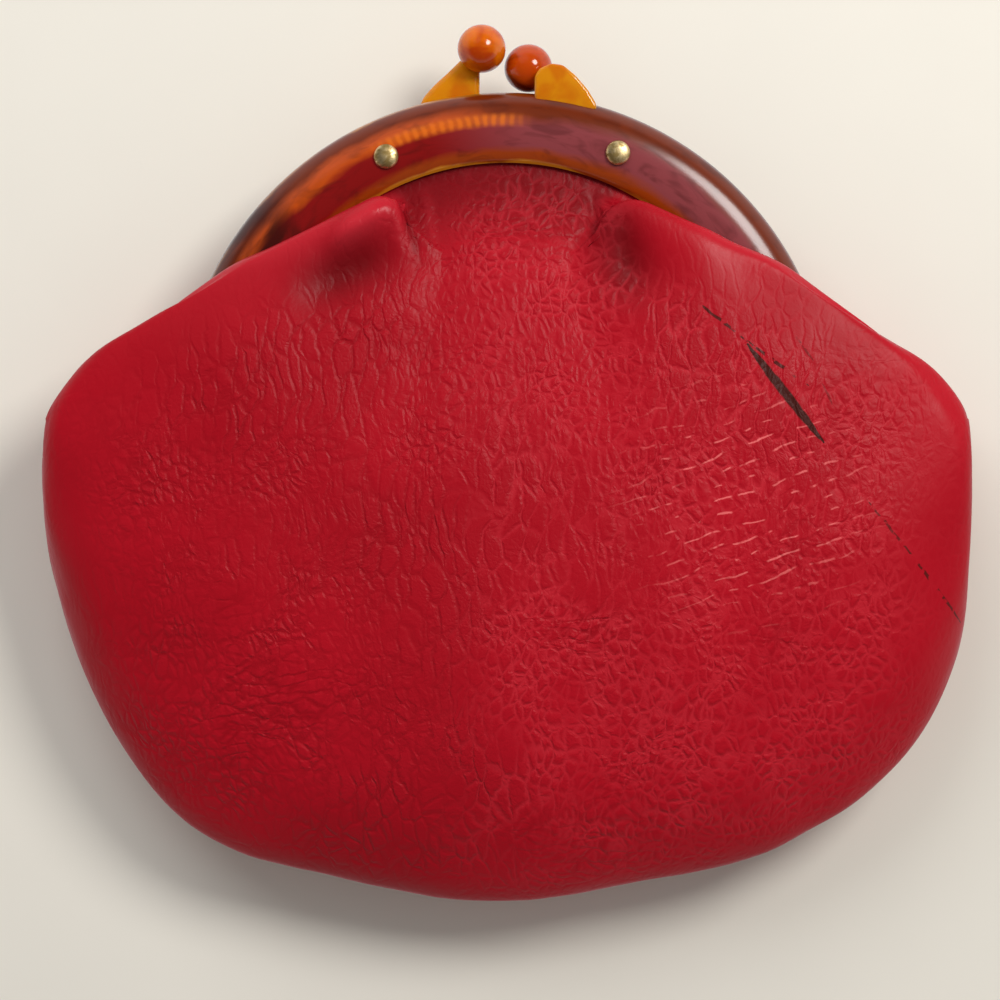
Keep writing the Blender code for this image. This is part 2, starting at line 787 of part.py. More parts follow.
def belly_run(neck, rim, angle_share, side):
    """The points from a rib's neck over the belly to the rim."""
    reach = abs(angle_share)
    lobe = smooth_step(*LOBE_RANGE_SHARES, reach)
    neck_h = abs(neck.z - MID_Z)
    neck = Vector((neck.x, neck.y, 0.0))
    across = (rim - neck).normalized()
    lift = Vector((abs(across.y), abs(across.x), 0.0)) * (rim - neck).length
    lift.x = math.copysign(lift.x, angle_share)
    lift_share = lobe * LOBE_LIFT_SHARES[1] * smooth_step(0.0, LOBE_LIFT_SHARES[0], reach)
    depth = BELLY_DEPTH + (OVER_FRAME_H + LOBE_RISE - BELLY_DEPTH) * lobe
    depth *= 1 - CORNER_DEPTH_SHARE * smooth_step(*CORNER_RANGE_SHARES, reach)
    points = []
    for way, front_share, back_share in BELLY_SHARES:
        plan = neck.lerp(rim, way) + lift * lift_share * math.sin(way * math.pi)
        crown = min((front_share if side > 0 else back_share) * depth, BELLY_DEPTH)
        turn_way = BELLY_SHARES[1][0] if side > 0 else BACK_TURN_SHARE
        h = neck_h + (crown - neck_h) * smooth_step(0.0, turn_way, way)
        points.append(on_plane(plan, h, side))
    points.append(on_plane(rim, SEAM_H, side))
    return points


def lining_rib(angle_share, side):
    """The outer face of the lining, which hangs straight from the lip inside the leather."""
    angle = angle_share * LEATHER_END_ANGLE
    reach = abs(angle_share)
    lobe = smooth_step(*LINING_RANGE_SHARES, reach)
    lip = FRAME_INNER_R
    path = [
        on_plane(at_angle(LEATHER_EDGE_R, angle), LINING_H, side),
        on_plane(at_angle(lip - NECK_STEP * 1.5, angle), LINING_H, side),
        on_plane(at_angle(lip - NECK_STEP * 2.5, angle), LINING_H + NECK_STEP * 0.15, side),
    ]
    neck = Vector((path[-1].x, path[-1].y, 0.0))
    below_hinge = seam_end(1).y - LEATHER - SEAT_GAP * 3
    rim = rim_row(angle_share)
    rim = rim - rim.normalized() * LINING_INSET * 2
    rim.y = min(rim.y, below_hinge)
    end = smooth_step(*LINING_END_SHARES, reach)
    rim = rim.lerp(Vector((math.copysign(lip - NECK_STEP, angle), below_hinge, 0.0)), end)
    room = (LINING_REACH_SHARE - reach) * FRAME_INNER_R
    gate = Vector((neck.x * LINING_GATE_SHARE, below_hinge - room, 0.0))
    depth = (BELLY_DEPTH - LINING_INSET * 2) * (1 - LINING_DEPTH_SHARE * lobe)
    turn_way = BELLY_SHARES[1][0]
    for way, front_share, back_share in BELLY_SHARES:
        if way <= turn_way:
            bent = neck.lerp(gate, way / turn_way)
        else:
            bent = gate.lerp(rim, (way - turn_way) / (1 - turn_way))
        plan = neck.lerp(rim, way).lerp(bent, lobe)
        crown = min(front_share if side > 0 else back_share, 1.0) * depth
        h = LINING_H + (crown - LINING_H) * smooth_step(0.0, turn_way, way)
        path.append(on_plane(plan, h, side))
    path.append(on_plane(rim, SEAM_H, side))
    return path


def make_sheet(rib, shares, side, splits):
    """A grid of ribs, with splits steps between one control point and the next."""
    bm = bmesh.new()
    rows = []
    for share in shares:
        controls = rib(share, side)
        spots = []
        for span, count in enumerate(splits):
            spots += [span + part / count for part in range(count)]
        spots.append(len(splits))
        rows.append([bm.verts.new(spline_point(controls, spot)) for spot in spots])
    for row, following in zip(rows, rows[1:]):
        edges = zip(row, row[1:], following, following[1:])
        for near, far, next_near, next_far in edges:
            bm.faces.new((near, far, next_far, next_near))
    if side < 0:
        for vert in bm.verts:
            vert.co.z = max(vert.co.z, MID_Z - BELLY_DEPTH)
    bm.normal_update()
    return bm


def thicken(obj, thickness):
    """Give a sheet its thickness, inwards from its outer face."""
    step = obj.modifiers.new("Thickness", "SOLIDIFY")
    step.thickness = thickness
    step.offset = -1.0
    step.use_even_offset = False
    step.use_rim = True


def wedge(name, low, high):
    """A prism about the hinge axis between two angles from +Y towards +Z."""
    reach = (BAG_DROP + FRAME_OUTER_R) * 2
    steps = 4
    half_x = BAG_HALF_WIDTH + OVERRUN
    middle = (low + high) / 2
    nudge = SEAT_GAP / 2 / math.sin((high - low) / 2)
    tip_y = nudge * math.cos(middle)
    tip_z = nudge * math.sin(middle)
    outline = [(-half_x, tip_y, MID_Z + tip_z)]
    for i in range(steps + 1):
        turn = low + (high - low) * i / steps
        y = tip_y + reach * math.cos(turn)
        outline.append((-half_x, y, MID_Z + tip_z + reach * math.sin(turn)))
    bm = extrude_outline(outline, Vector((2 * half_x, 0, 0)))
    return as_cutter(finish_object(name, bm, None))


def make_pouch(root, swing, rivet_holes):
    """The leather and the lining: a back panel, and a front panel in three parts."""
    zones = (
        ("upper", wedge("upper_wedge", ZONE_START_ANGLE, UPPER_EDGE_ANGLE), swing),
        ("fold", wedge("fold_wedge", UPPER_EDGE_ANGLE, LOWER_EDGE_ANGLE), root),
        ("lower", wedge("lower_wedge", LOWER_EDGE_ANGLE, ZONE_END_ANGLE), root),
    )
    leather_shares = [rib_share(index, LEATHER_RIBS) for index in range(LEATHER_RIBS)]
    lining_shares = [LINING_REACH_SHARE * (2 * i / (LINING_RIBS - 1) - 1) for i in range(LINING_RIBS)]
    leather_splits = (1, 1, 1, 1, 1, 1, 1, 1, 1, 1, 2, 1, 1, 1, 1)
    lining_splits = (1, 1, 1, 1, 2, 1, 1, 1, 1)
    layers = (
        ("leather", leather_rib, leather_shares, leather_splits, LEATHER, RED, 0.5),
        ("lining", lining_rib, lining_shares, lining_splits, LINING, CLOTH, 0.9),
    )
    for layer, rib, shares, splits, thickness, colour, roughness in layers:
        back = make_sheet(rib, shares, -1, splits)
        bmesh.ops.reverse_faces(back, faces=back.faces)
        name = "back_" + layer
        obj = finish_object(name, back, material(name, colour, roughness), root)
        thicken(obj, thickness)
        for cutter in rivet_holes:
            boolean(obj, cutter, "DIFFERENCE")
        for zone, cutter, parent in zones:
            name = "front_" + layer + "_" + zone
            front = make_sheet(rib, shares, 1, splits)
            obj = finish_object(name, front, material(name, colour, roughness), parent)
            thicken(obj, thickness)
            boolean(obj, cutter, "INTERSECT")
            if zone == "upper":
                for hole in rivet_holes:
                    boolean(obj, hole, "DIFFERENCE")


# Assembly

def build():
    clear_scene()
    root = bpy.data.objects.new("back_half", None)
    swing = bpy.data.objects.new("front_half", None)
    for empty in (root, swing):
        bpy.context.collection.objects.link(empty)
    swing.location = UP * MID_Z
    rivet_holes = rivet_hole_cutters()
    pin_holes = pin_hole_cutters()
    for front, half, parent in ((True, "front", swing), (False, "back", root)):
        make_frame_half(half + "_frame", front, parent, rivet_holes, pin_holes)
        make_strip(half + "_strip", front, parent, rivet_holes)
        make_arm(half + "_clasp_arm", front, parent)
        make_ball(half + "_clasp_ball", front, parent)
        for hand, angle in rivet_places():
            make_rivet(half + "_rivet_" + hand, front, angle, parent)
    make_pin("hinge_pin_left", -1, root)
    make_pin("hinge_pin_right", 1, root)
    make_pouch(root, swing, rivet_holes)


build()
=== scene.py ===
"""The looks of a kiss lock coin purse, made around its fixed frame.

Metres, +Z up. The purse lies on its back panel, with the clasp towards +Y. Heights above the
plane where the two frame halves meet are called h. The back half has the same shapes, with h
turned over.
"""

import json
import math

import bmesh
import bpy
from bpy.props import FloatProperty, FloatVectorProperty, PointerProperty
from mathutils import Matrix, Vector, noise
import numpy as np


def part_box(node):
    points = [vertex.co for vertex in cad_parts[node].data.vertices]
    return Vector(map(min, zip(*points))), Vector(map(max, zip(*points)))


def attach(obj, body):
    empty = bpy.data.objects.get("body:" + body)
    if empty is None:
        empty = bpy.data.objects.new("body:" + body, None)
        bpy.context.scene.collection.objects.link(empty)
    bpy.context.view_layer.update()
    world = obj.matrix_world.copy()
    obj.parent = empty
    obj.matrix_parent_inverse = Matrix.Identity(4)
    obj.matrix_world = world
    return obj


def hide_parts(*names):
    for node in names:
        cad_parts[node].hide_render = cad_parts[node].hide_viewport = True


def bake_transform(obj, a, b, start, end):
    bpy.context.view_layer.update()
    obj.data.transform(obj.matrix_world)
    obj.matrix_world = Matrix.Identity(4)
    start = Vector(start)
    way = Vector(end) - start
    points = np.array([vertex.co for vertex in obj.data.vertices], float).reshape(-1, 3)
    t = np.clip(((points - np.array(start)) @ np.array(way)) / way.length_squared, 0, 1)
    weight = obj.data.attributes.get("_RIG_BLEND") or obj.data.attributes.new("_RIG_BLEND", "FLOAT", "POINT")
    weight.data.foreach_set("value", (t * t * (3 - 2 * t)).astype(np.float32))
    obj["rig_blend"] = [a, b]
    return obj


bl_info = {
    "name": "Kiss Lock Purse Looks",
    "version": (1, 0, 0),
    "blender": (4, 5, 0),
    "location": "View3D > Sidebar > Purse",
    "description": "Dresses a kiss lock coin purse in leather, moulded amber and aged brass",
    "category": "Object",
}

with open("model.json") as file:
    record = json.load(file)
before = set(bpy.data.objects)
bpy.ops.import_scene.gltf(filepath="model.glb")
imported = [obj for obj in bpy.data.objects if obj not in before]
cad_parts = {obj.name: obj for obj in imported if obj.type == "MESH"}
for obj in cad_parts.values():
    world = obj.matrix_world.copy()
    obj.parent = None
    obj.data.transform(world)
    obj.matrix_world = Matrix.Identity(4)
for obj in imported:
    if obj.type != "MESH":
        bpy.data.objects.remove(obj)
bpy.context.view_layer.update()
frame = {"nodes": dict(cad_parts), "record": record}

MM = 0.001
UP = Vector((0.0, 0.0, 1.0))

# The two halves: which way h points, the word in the names of pieces and nodes, and the moving body
BACK_BODY = "back_half"
FRONT_BODY = "front_half"
HALVES = ((1, "front", FRONT_BODY), (-1, "back", BACK_BODY))

# Where the fixed frame stands
MID_Z = frame["record"]["behaviour"]["joints"][0]["pos_m"][2]
FRAME_OUTER_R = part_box("front_frame")[1].y
FRAME_HALF_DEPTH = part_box("front_frame")[1].z - MID_Z
SEAT_GAP = 0.3 * MM
PARTING_H = SEAT_GAP / 2

# Moulded frame half
FRAME_BAND = 11.1 * MM
FRAME_WALL = 1.9 * MM
FRAME_ROOF = 1.9 * MM
FRAME_INNER_R = FRAME_OUTER_R - FRAME_BAND
CHANNEL_ROOF_H = FRAME_HALF_DEPTH - FRAME_ROOF
CHANNEL_CORNER_R = FRAME_WALL * 0.7
CHANNEL_CORNER_STEPS = 6
FRAME_EDGE = 0.25 * MM
FRAME_STEPS = 120
SKIN_STEPS = 4
END_BLOCK_ANGLE = math.radians(6.0)
END_BLOCK_STEPS = 4
END_RECESS_SHARE = 0.55

# Hinges
HINGE_CLEARANCE = 0.8 * MM
EAR_R = 3.2 * MM
EAR_WIDTH = 2.6 * MM
EAR_INSET = 2.6 * MM
EAR_STEPS = 40
PIN_R = 1.0 * MM
PIN_HEAD_R = 1.8 * MM
PIN_HEAD_LENGTH = 0.6 * MM
PIN_GAP = 0.15 * MM
PIN_SEGMENTS = 40
PIN_HOLE_SEGMENTS = 32

# Streaks of light where the channel grips the leather: their spacing, and where they lie as a
# turn from the Y axis and as a radius, each with the edge over which they fade
GRIP_STEP = 1.5 * MM
GRIP_TURNS = (-0.38, -0.02, 0.12)
GRIP_RADII = (45.9 * MM, 46.6 * MM, 1.0 * MM)

# Clasp
BALL_R = 3.75 * MM
BALL_STANDOFF = 1.2 * MM
BALL_X = {"front": 3.5 * MM, "back": -3.8 * MM}
BALL_RISE = {"front": 4.3 * MM, "back": 7.0 * MM}
BALL_STEPS = 24
BALL_SEGMENTS = 64
BALL_FLAT_SHARE = 0.995
MOULD_LINE_RISE = 0.006
MOULD_LINE_TURN = 0.03
ARM_X = {"front": 4.4 * MM, "back": -4.1 * MM}
ARM_FOOT = 9.6 * MM
ARM_RISE = 6.6 * MM
ARM_DEPTH = 3.6 * MM
ARM_START_H = 0.6 * MM
ARM_BEVEL = 0.9 * MM

# Sheets
LEATHER = 1.0 * MM
LINING = 0.4 * MM

# Rivets
LEATHER_EDGE_R = FRAME_OUTER_R - FRAME_WALL - 2.4 * MM
RIVET_CIRCLE_R = LEATHER_EDGE_R - 2.0 * MM
RIVET_ANGLES = {"left": math.radians(-24.5), "right": math.radians(22.7)}
RIVET_HEAD_R = 1.9 * MM
RIVET_HEAD_HEIGHT = 0.9 * MM
RIVET_HEAD_STEPS = 10
RIVET_SEGMENTS = 48
RIVET_CROWN_POWER = 0.8
RIVET_EDGE_POWER = 0.92
RIVET_SHANK_R = 0.9 * MM
RIVET_TAIL_R = 1.4 * MM
RIVET_TAIL_LENGTH = 0.4 * MM
TAIL_H = 0.8 * MM

# Pouch
LEATHER_H = CHANNEL_ROOF_H - SEAT_GAP
LINING_H = LEATHER_H - LEATHER - SEAT_GAP
BELLY_DEPTH = MID_Z
BAG_HALF_WIDTH = 72.0 * MM
BAG_DROP = 74.6 * MM
SEAM_H = SEAT_GAP / 2
OVER_FRAME_H = FRAME_HALF_DEPTH + SEAT_GAP * 1.5
FOLD_HEIGHT = 4.0 * MM
LOBE_RISE = 3.6 * MM
FOLD_SETBACK = 1.5 * MM
OVER_SETBACK = 2.4 * MM
NECK_STEP = 1.7 * MM
LINING_INSET = LEATHER + SEAT_GAP * 2
LEATHER_END_ANGLE = math.radians(77.0)
SEAM_END_OUT = 1.2 * MM
SEAM_CLEARANCE = 1.4 * MM

# The frame's outer skin: share of the band from its outer edge, share of the half depth
FRAME_SKIN_SHARES = (
    (0.0, 0.40),
    (0.045, 0.62),
    (0.16, 0.84),
    (0.35, 0.97),
    (0.58, 1.0),
    (0.80, 0.955),
    (0.945, 0.86),
    (1.0, 0.76),
)

# The clasp arms' outlines: share of the foot's width away from the middle, share of the rise
ARM_SHARES = {
    "front": (
        (0.0, -0.45),
        (0.0, 0.36),
        (0.08, 0.54),
        (0.26, 0.66),
        (0.46, 0.62),
        (0.66, 0.38),
        (0.86, 0.04),
        (1.0, -0.30),
        (1.0, -0.45),
    ),
    "back": (
        (0.0, -0.40),
        (0.0, 1.02),
        (0.20, 1.02),
        (0.36, 0.78),
        (0.56, 0.50),
        (0.76, 0.24),
        (0.95, -0.08),
        (1.0, -0.40),
    ),
}

# The pouch's rim, from its left corner round the foot to its right corner: share of the leather's
# end angle, share of the half width, share of the drop
RIM_SHARES = (
    (-0.892, -0.964, -0.026),
    (-0.868, -0.988, -0.075),
    (-0.838, -1.000, -0.160),
    (-0.770, -0.988, -0.290),
    (-0.690, -0.934, -0.462),
    (-0.600, -0.842, -0.652),
    (-0.500, -0.715, -0.812),
    (-0.395, -0.555, -0.905),
    (-0.290, -0.380, -0.948),
    (-0.180, -0.215, -0.982),
    (-0.070, -0.070, -1.0),
    (0.040, 0.075, -0.994),
    (0.150, 0.230, -0.968),
    (0.260, 0.400, -0.940),
    (0.365, 0.560, -0.896),
    (0.465, 0.711, -0.822),
    (0.565, 0.838, -0.722),
    (0.660, 0.934, -0.590),
    (0.745, 0.990, -0.430),
    (0.815, 0.998, -0.250),
    (0.845, 0.998, -0.130),
    (0.870, 0.991, -0.070),
    (0.892, 0.977, -0.026),
)

# Where each rib turns over to make the lobe's fold: share of the leather's end angle, share along
# the line from the frame's lip to the corner, share of its length out from it, share of the height
CREST_SHARES = (
    (0.31, 0.0, -0.045, 1.10),
    (0.40, 0.0, -0.030, 1.20),
    (0.50, 0.005, -0.008, 1.28),
    (0.58, 0.015, 0.018, 1.30),
    (0.665, 0.046, 0.066, 1.26),
    (0.74, 0.139, 0.140, 1.26),
    (0.80, 0.300, 0.168, 1.20),
    (0.838, 0.497, 0.175, 1.05),
    (0.868, 0.734, 0.150, 0.80),
    (0.892, 0.898, 0.085, 0.52),
)

# The single wall from the corner round the hinge: share of the leather's end angle, share of the
# way from the corner to the seam's end, then shares of the ear's radius for the seam's bow, and for
# how far the wall's shoulder stands in front of the hinge axis and above it
WALL_SHARES = (
    (0.922, 0.19, 0.04, 0.99, 1.25),
    (0.948, 0.43, 0.21, 0.57, 1.45),
    (0.974, 0.71, 0.25, 0.22, 1.60),
    (1.0, 1.0, 0.0, 0.06, 1.68),
)

# The neck's section between the rivets, in steps inwards from the lip and up from the channel
NECK_SHARES = (
    (1.0, 0.15),
    (2.0, 0.45),
    (3.0, 0.85),
    (4.1, 1.3),
    (5.4, 1.85),
    (6.8, 2.4),
    (8.2, 2.9),
)

# The belly's section from the neck to the rim: share of the way, share of the front's depth and
# share of the back's, which lies flat past 1
BELLY_SHARES = (
    (0.14, 0.94, 1.02),
    (0.34, 0.98, 1.06),
    (0.62, 1.0, 1.06),
    (0.84, 0.76, 0.94),
    (0.955, 0.42, 0.48),
    (1.0, 0.14, 0.14),
)

# Shares that shape the leather's ribs. A range or a fade says where a change begins and ends on the
# way round from the middle to the leather's end
BACK_TURN_SHARE = 0.14
FOLD_RANGE_SHARES = (0.305, 0.385)
OVER_RANGE_SHARES = (0.38, 0.60)
TOP_FADE_SHARES = (0.76, 0.89)
SHORT_LYING_SHARE = 0.45
SHORT_NOSE_SHARE = 0.8
WALL_RANGE_SHARES = (0.855, 0.895)
LOBE_RANGE_SHARES = (0.55, 0.86)
LOBE_LIFT_SHARES = (0.12, 0.20)
CORNER_DEPTH_SHARE = 0.45
CORNER_RANGE_SHARES = (0.78, 0.90)

# The same for the lining
LINING_REACH_SHARE = 0.96
LINING_RANGE_SHARES = (0.45, 0.80)
LINING_END_SHARES = (0.78, 0.96)
LINING_DEPTH_SHARE = 0.62
LINING_GATE_SHARE = 1.08

# How finely the sheets are made: ribs, points between two ribs, and between two points of a rib. How
# often they are smoothed, and where on a rib the crest of its fold lies, counted in points
LEATHER_RIBS = 61
LINING_RIBS = 17
LEATHER_RIB_STEPS = 4
LINING_RIB_STEPS = 12
LEATHER_SPAN_STEPS = (3, 3, 4, 5, 6, 8, 8, 8, 12, 14, 20, 18, 14, 9, 4)
LINING_SPAN_STEPS = (3, 4, 6, 10, 12, 12, 8, 5, 3)
SMOOTH_ROUNDS = 5
CREST_SPOT = 7.6

# The stretch of the front panel that bends as the purse opens, across the hinge axis
BEND_REACH = 14.0 * MM

# The floor, and how near the camera sees
FLOOR_R = 1.6
FLOOR_SEGMENTS = 96
CAMERA_NEAR = 10 * MM

# How far up the room's pale walls reach before they darken into the ceiling, as a share of upright
WALL_TOP = (0.16, 0.6)

# The lamps: name, way from the middle of the picture and width in metres, power in watts, colour, and
# whether they show in reflections
LAMPS = (
    ("window", (0.33, 0.31, 0.52), 0.26, 3.2, (1.0, 0.98, 0.95), True),
    ("room", (-0.24, 0.48, 0.45), 0.50, 2.4, (0.97, 0.98, 1.0), False),
)

# The nets of creases in the leather, pebbled, tall, fine and crosswise: width of a cell against the
# grain's, how much a cell is squeezed along each axis, and the width of a line in cells
GRAIN_NETS = (
    (1.0, (1.0, 0.66, 1.0), 0.34),
    (1.35, (1.0, 0.34, 1.0), 0.2),
    (0.45, (1.0, 0.8, 1.0), 0.3),
    (1.3, (0.36, 1.0, 1.0), 0.16),
)

# Where the grain is faint, and over what it grows: the height over the seam, the lobe's place
# towards the clasp with its slope, and the places along X of the flanks and of the neck
GRAIN_FAINT = 0.22
GRAIN_EDGE_H = (2.0 * MM, 8.0 * MM)
GRAIN_LOBE_R = (FRAME_INNER_R * 0.92, FRAME_INNER_R * 0.64)
GRAIN_LOBE_SLOPE = 0.45
GRAIN_FLANK_X = (BAG_HALF_WIDTH * 0.92, BAG_HALF_WIDTH * 0.72)
GRAIN_NECK_X = (BAG_HALF_WIDTH * 0.28, BAG_HALF_WIDTH * 0.18)

# The frame's coloured bands, left and right: share of the way from its outer edge to its lip, and
# the colour's name
LEFT_BANDS = (
    (0.0, "gold"),
    (0.06, "brown"),
    (0.2, "brown"),
    (0.3, "orange"),
    (0.4, "orange"),
    (0.5, "red"),
    (0.78, "red"),
    (0.90, "lip"),
    (0.97, "lip"),
    (1.0, "gold"),
)
# The right side's mauve is partly the frame's clouding and partly painted reflection of a pale room
RIGHT_BANDS = (
    (0.0, "brown"),
    (0.3, "brown"),
    (0.46, "mauve_and_reflection"),
    (0.76, "mauve_and_reflection"),
    (0.88, "lip"),
    (0.96, "lip"),
    (1.0, "gold"),
)

# The leather's broad slack and its puckers, which are longer along Y: waves in a metre, and depth
SLACK_WAVES = 45.0
SLACK_DEPTH = 0.55 * MM
PUCKER_WAVES = (160, 50)
PUCKER_DEPTH = 0.16 * MM

# Where the hollows and pleats get painted shade, darker than the leather's own colour. Start and end on the
# plan and width in millimetres, and how deep the painted shade is there. The neck gets painted shadow too,
# under the frame's lip
NECK_SHADE = 0.85
NECK_SHADE_RADII = (FRAME_INNER_R - NECK_STEP * 10, FRAME_INNER_R - NECK_STEP)
PAINTED_SHADE_STROKES = (
    ((-32.0, 19.5), (-16.0, 27.0), 4.8, 0.9),
    ((-15.9, 35.0), (-13.4, 24.5), 0.9, 0.8),
    ((14.2, 34.5), (20.0, 18.5), 5.0, 0.95),
    ((13.2, 35.5), (14.2, 26.0), 0.9, 0.8),
)

# Where the lines of the grain turn from darker to lighter than the leather, along X
DARK_LINES_X = (-14.0 * MM, 2.0 * MM)

# How worn and painted-highlit the lobes' crests are, and the height of a ridge that gets as light as leather
# gets
CREST_WEAR_AND_HIGHLIGHT = 0.6
RIDGE_HEIGHT = 1.4 * MM

# Folds of the front leather. Start and end on the plan, width and height in millimetres. A fold and
# a shade fade out past both ends, over the same shares of their length
FOLD_FADE_SHARES = (-0.3, 0.4)
FRONT_FOLDS = (
    ((-15.8, 35.0), (-13.4, 24.5), 0.7, -0.7),
    ((-17.6, 34.0), (-15.4, 25.5), 0.9, 0.6),
    ((-12.6, 35.5), (-11.0, 27.0), 0.8, 0.35),
    ((13.2, 35.5), (14.6, 25.0), 0.7, -0.7),
    ((15.0, 34.5), (16.6, 23.0), 1.0, 0.5),
    ((-26.5, 27.2), (-17.2, 33.2), 1.9, 1.5),
    ((-31.0, 19.0), (-16.0, 26.0), 4.0, -1.6),
    ((17.0, 28.8), (22.5, 18.5), 4.4, -1.4),
)

# Dark scuff marks on the front. Start and end on the plan and half the width in millimetres, then
# the strength, and whether the mark is broken into dashes. The tip and the soft edge of every mark
# are shares of half its width
SCUFF_TIP_SHARE = 0.2
SCUFF_EDGE_SHARES = (0.75, 1.15)
SCUFFS = (
    ((28.6, 18.1), (36.4, 12.0), 0.24, 0.85, True),
    ((35.2, 12.8), (45.9, 5.0), 0.28, 0.85, True),
    ((36.6, 11.3), (48.1, -3.6), 0.78, 0.95, False),
    ((43.5, 13.4), (46.9, 8.5), 0.20, 0.45, True),
    ((48.1, 5.5), (49.6, 2.1), 0.20, 0.45, True),
    ((54.3, -11.9), (62.4, -21.6), 0.22, 0.7, True),
    ((60.8, -19.8), (70.4, -31.6), 0.28, 0.8, True),
)

# Where the grain is rubbed bright on the plan, the slant of its lines and their distance in grains
RUBBED_PLACE = (37.0 * MM, -12.0 * MM)
RUBBED_REACH = 24.0 * MM
RUBBED_TURN = math.radians(-18.0)
RUBBED_STEP_SHARE = 1.5


# Colours

def from_screen(red, green, blue):
    """A colour as a screen shows it, from 0 to 255, as the linear value that a shader takes."""
    linear = []
    for value in (red, green, blue):
        share = value / 255
        linear.append(share / 12.92 if share <= 0.04045 else ((share + 0.055) / 1.055) ** 2.4)
    return tuple(linear)


def size_prop(name, description, default):
    return FloatProperty(
        name=name, description=description, default=default, min=0.0, unit="LENGTH", precision=5
    )


def share_prop(name, description, default):
    return FloatProperty(name=name, description=description, default=default, subtype="FACTOR")


def colour_prop(name, description, red, green, blue):
    return FloatVectorProperty(
        name=name,
        description=description,
        default=from_screen(red, green, blue),
        subtype="COLOR",
        size=3,
        min=0.0,
        max=1.0,
    )


class LeatherLook(bpy.types.PropertyGroup):
    """The leather panels."""

    thickness: size_prop("Thickness", "Thickness of the leather", LEATHER)
    grain: size_prop("Grain", "Width of one pebble of the grain", 1.5 * MM)
    grain_depth: size_prop("Grain depth", "Depth of the creases between the pebbles", 0.17 * MM)
    red: colour_prop("Red", "Colour of the leather", 168, 10, 28)
    deep: colour_prop("Deep red", "Colour of its darker drifts and creases", 120, 1, 10)
    # Painted shade, laid over the hollows and pleats and over the neck under the frame's lip
    painted_hollow_shade: colour_prop("Hollow", "Colour of the hollows beside the pleats", 94, 0, 5)
    # Also laid along the folds' crests, partly as wear and partly as painted highlight
    crease: colour_prop("Crease", "Colour of the lighter creases and folds", 202, 48, 60)
    rubbed: colour_prop("Rubbed", "Colour of the short rubbed lines", 236, 118, 116)
    scuff: colour_prop("Scuff", "Colour of the dark scuff marks", 52, 22, 16)


class LiningLook(bpy.types.PropertyGroup):
    """The cloth lining."""

    thickness: size_prop("Thickness", "Thickness of the cloth", LINING)
    thread: size_prop("Thread", "Distance between two threads of the weave", 0.5 * MM)
    cloth: colour_prop("Cloth", "Colour of the lining", 128, 26, 32)


class AmberLook(bpy.types.PropertyGroup):
    """The moulded frame and the clasp."""

    brown: colour_prop("Brown", "Colour of the frame's outer edge", 106, 36, 4)
    orange: colour_prop("Orange", "Colour of the frame's bright bands", 182, 70, 6)
    lip: colour_prop("Lip", "Colour of the frame's inner lip", 150, 56, 8)
    gold: colour_prop("Gold", "Colour of the frame's thin edges", 204, 128, 26)
    glow: colour_prop("Glow", "Colour of the bright streaks over the channel's grips", 226, 112, 22)
    red: colour_prop("Red", "Colour of the leather seen through the frame", 128, 10, 10)
    # Partly clouding, partly painted reflection of a pale room
    mauve_and_reflection: colour_prop("Mauve", "Colour of the clouded middle of the frame", 134, 58, 62)
    dark: colour_prop("Dark", "Colour of the dark clouds in the frame", 52, 10, 4)
    pale: colour_prop("Pale", "Colour of the clasp's arms", 208, 132, 8)
    pale_swirl: colour_prop("Pale swirl", "Colour of the darker swirls in the arms", 198, 108, 4)
    ball: colour_prop("Ball", "Colour of the clasp's balls", 216, 106, 2)
    swirl: colour_prop("Swirl", "Colour of the darker swirls in the balls", 178, 60, 2)
    deep_ball: colour_prop("Deep ball", "Colour of the darker ball", 186, 66, 2)
    deep_swirl: colour_prop("Deep swirl", "Colour of the swirls in the darker ball", 112, 24, 4)


class BrassLook(bpy.types.PropertyGroup):
    """Rivets, hinge pins and strips."""

    bright: colour_prop("Bright", "Colour of the rubbed brass", 244, 218, 164)
    aged: colour_prop("Aged", "Colour of the aged brass", 172, 146, 92)
    steel: colour_prop("Steel", "Colour of the strips inside the frame", 165, 162, 158)


class StageLook(bpy.types.PropertyGroup):
    """The floor, the lamps and the camera."""

    camera_height: size_prop("Camera height", "Height of the camera over the frame", 450.0 * MM)
    view_width: size_prop("View width", "Width of the picture at the frame's height", 156.0 * MM)
    view_x: FloatProperty(
        name="View X", description="Middle of the picture", default=-0.94 * MM, unit="LENGTH"
    )
    view_y: FloatProperty(
        name="View Y", description="Middle of the picture", default=-12.32 * MM, unit="LENGTH"
    )
    floor: colour_prop("Floor", "Colour of the floor", 226, 221, 210)
    ambient: share_prop("Ambient", "Strength of the even light", 0.34)
    walls: share_prop("Walls", "How bright the room's walls look", 0.85)
    ceiling: share_prop("Ceiling", "How bright the room's ceiling looks", 0.05)


# Small helpers

def smooth_step(low, high, value):
    share = min(max((value - low) / (high - low), 0.0), 1.0)
    return share * share * (3.0 - 2.0 * share)


def table_value(table, key, column):
    """Read a table of shares between its rows, in a straight line."""
    for low, high in zip(table, table[1:]):
        if key <= high[0]:
            break
    share = min(max((key - low[0]) / (high[0] - low[0]), 0.0), 1.0)
    return low[column] + (high[column] - low[column]) * share


def spline_point(points, position):
    """A point on the smooth curve through the points, which position counts."""
    last = len(points) - 1
    index = min(int(position), last - 1)
    t = position - index
    p1, p2 = points[index], points[index + 1]
    p0 = points[index - 1] if index > 0 else p1 * 2 - p2
    p3 = points[index + 2] if index + 2 <= last else p2 * 2 - p1
    pull_in = (p2 - p0) / 2
    pull_out = (p3 - p1) / 2
    return (
        p1 * (2 * t**3 - 3 * t**2 + 1)
        + pull_in * (t**3 - 2 * t**2 + t)
        + p2 * (3 * t**2 - 2 * t**3)
        + pull_out * (t**3 - t**2)
    )


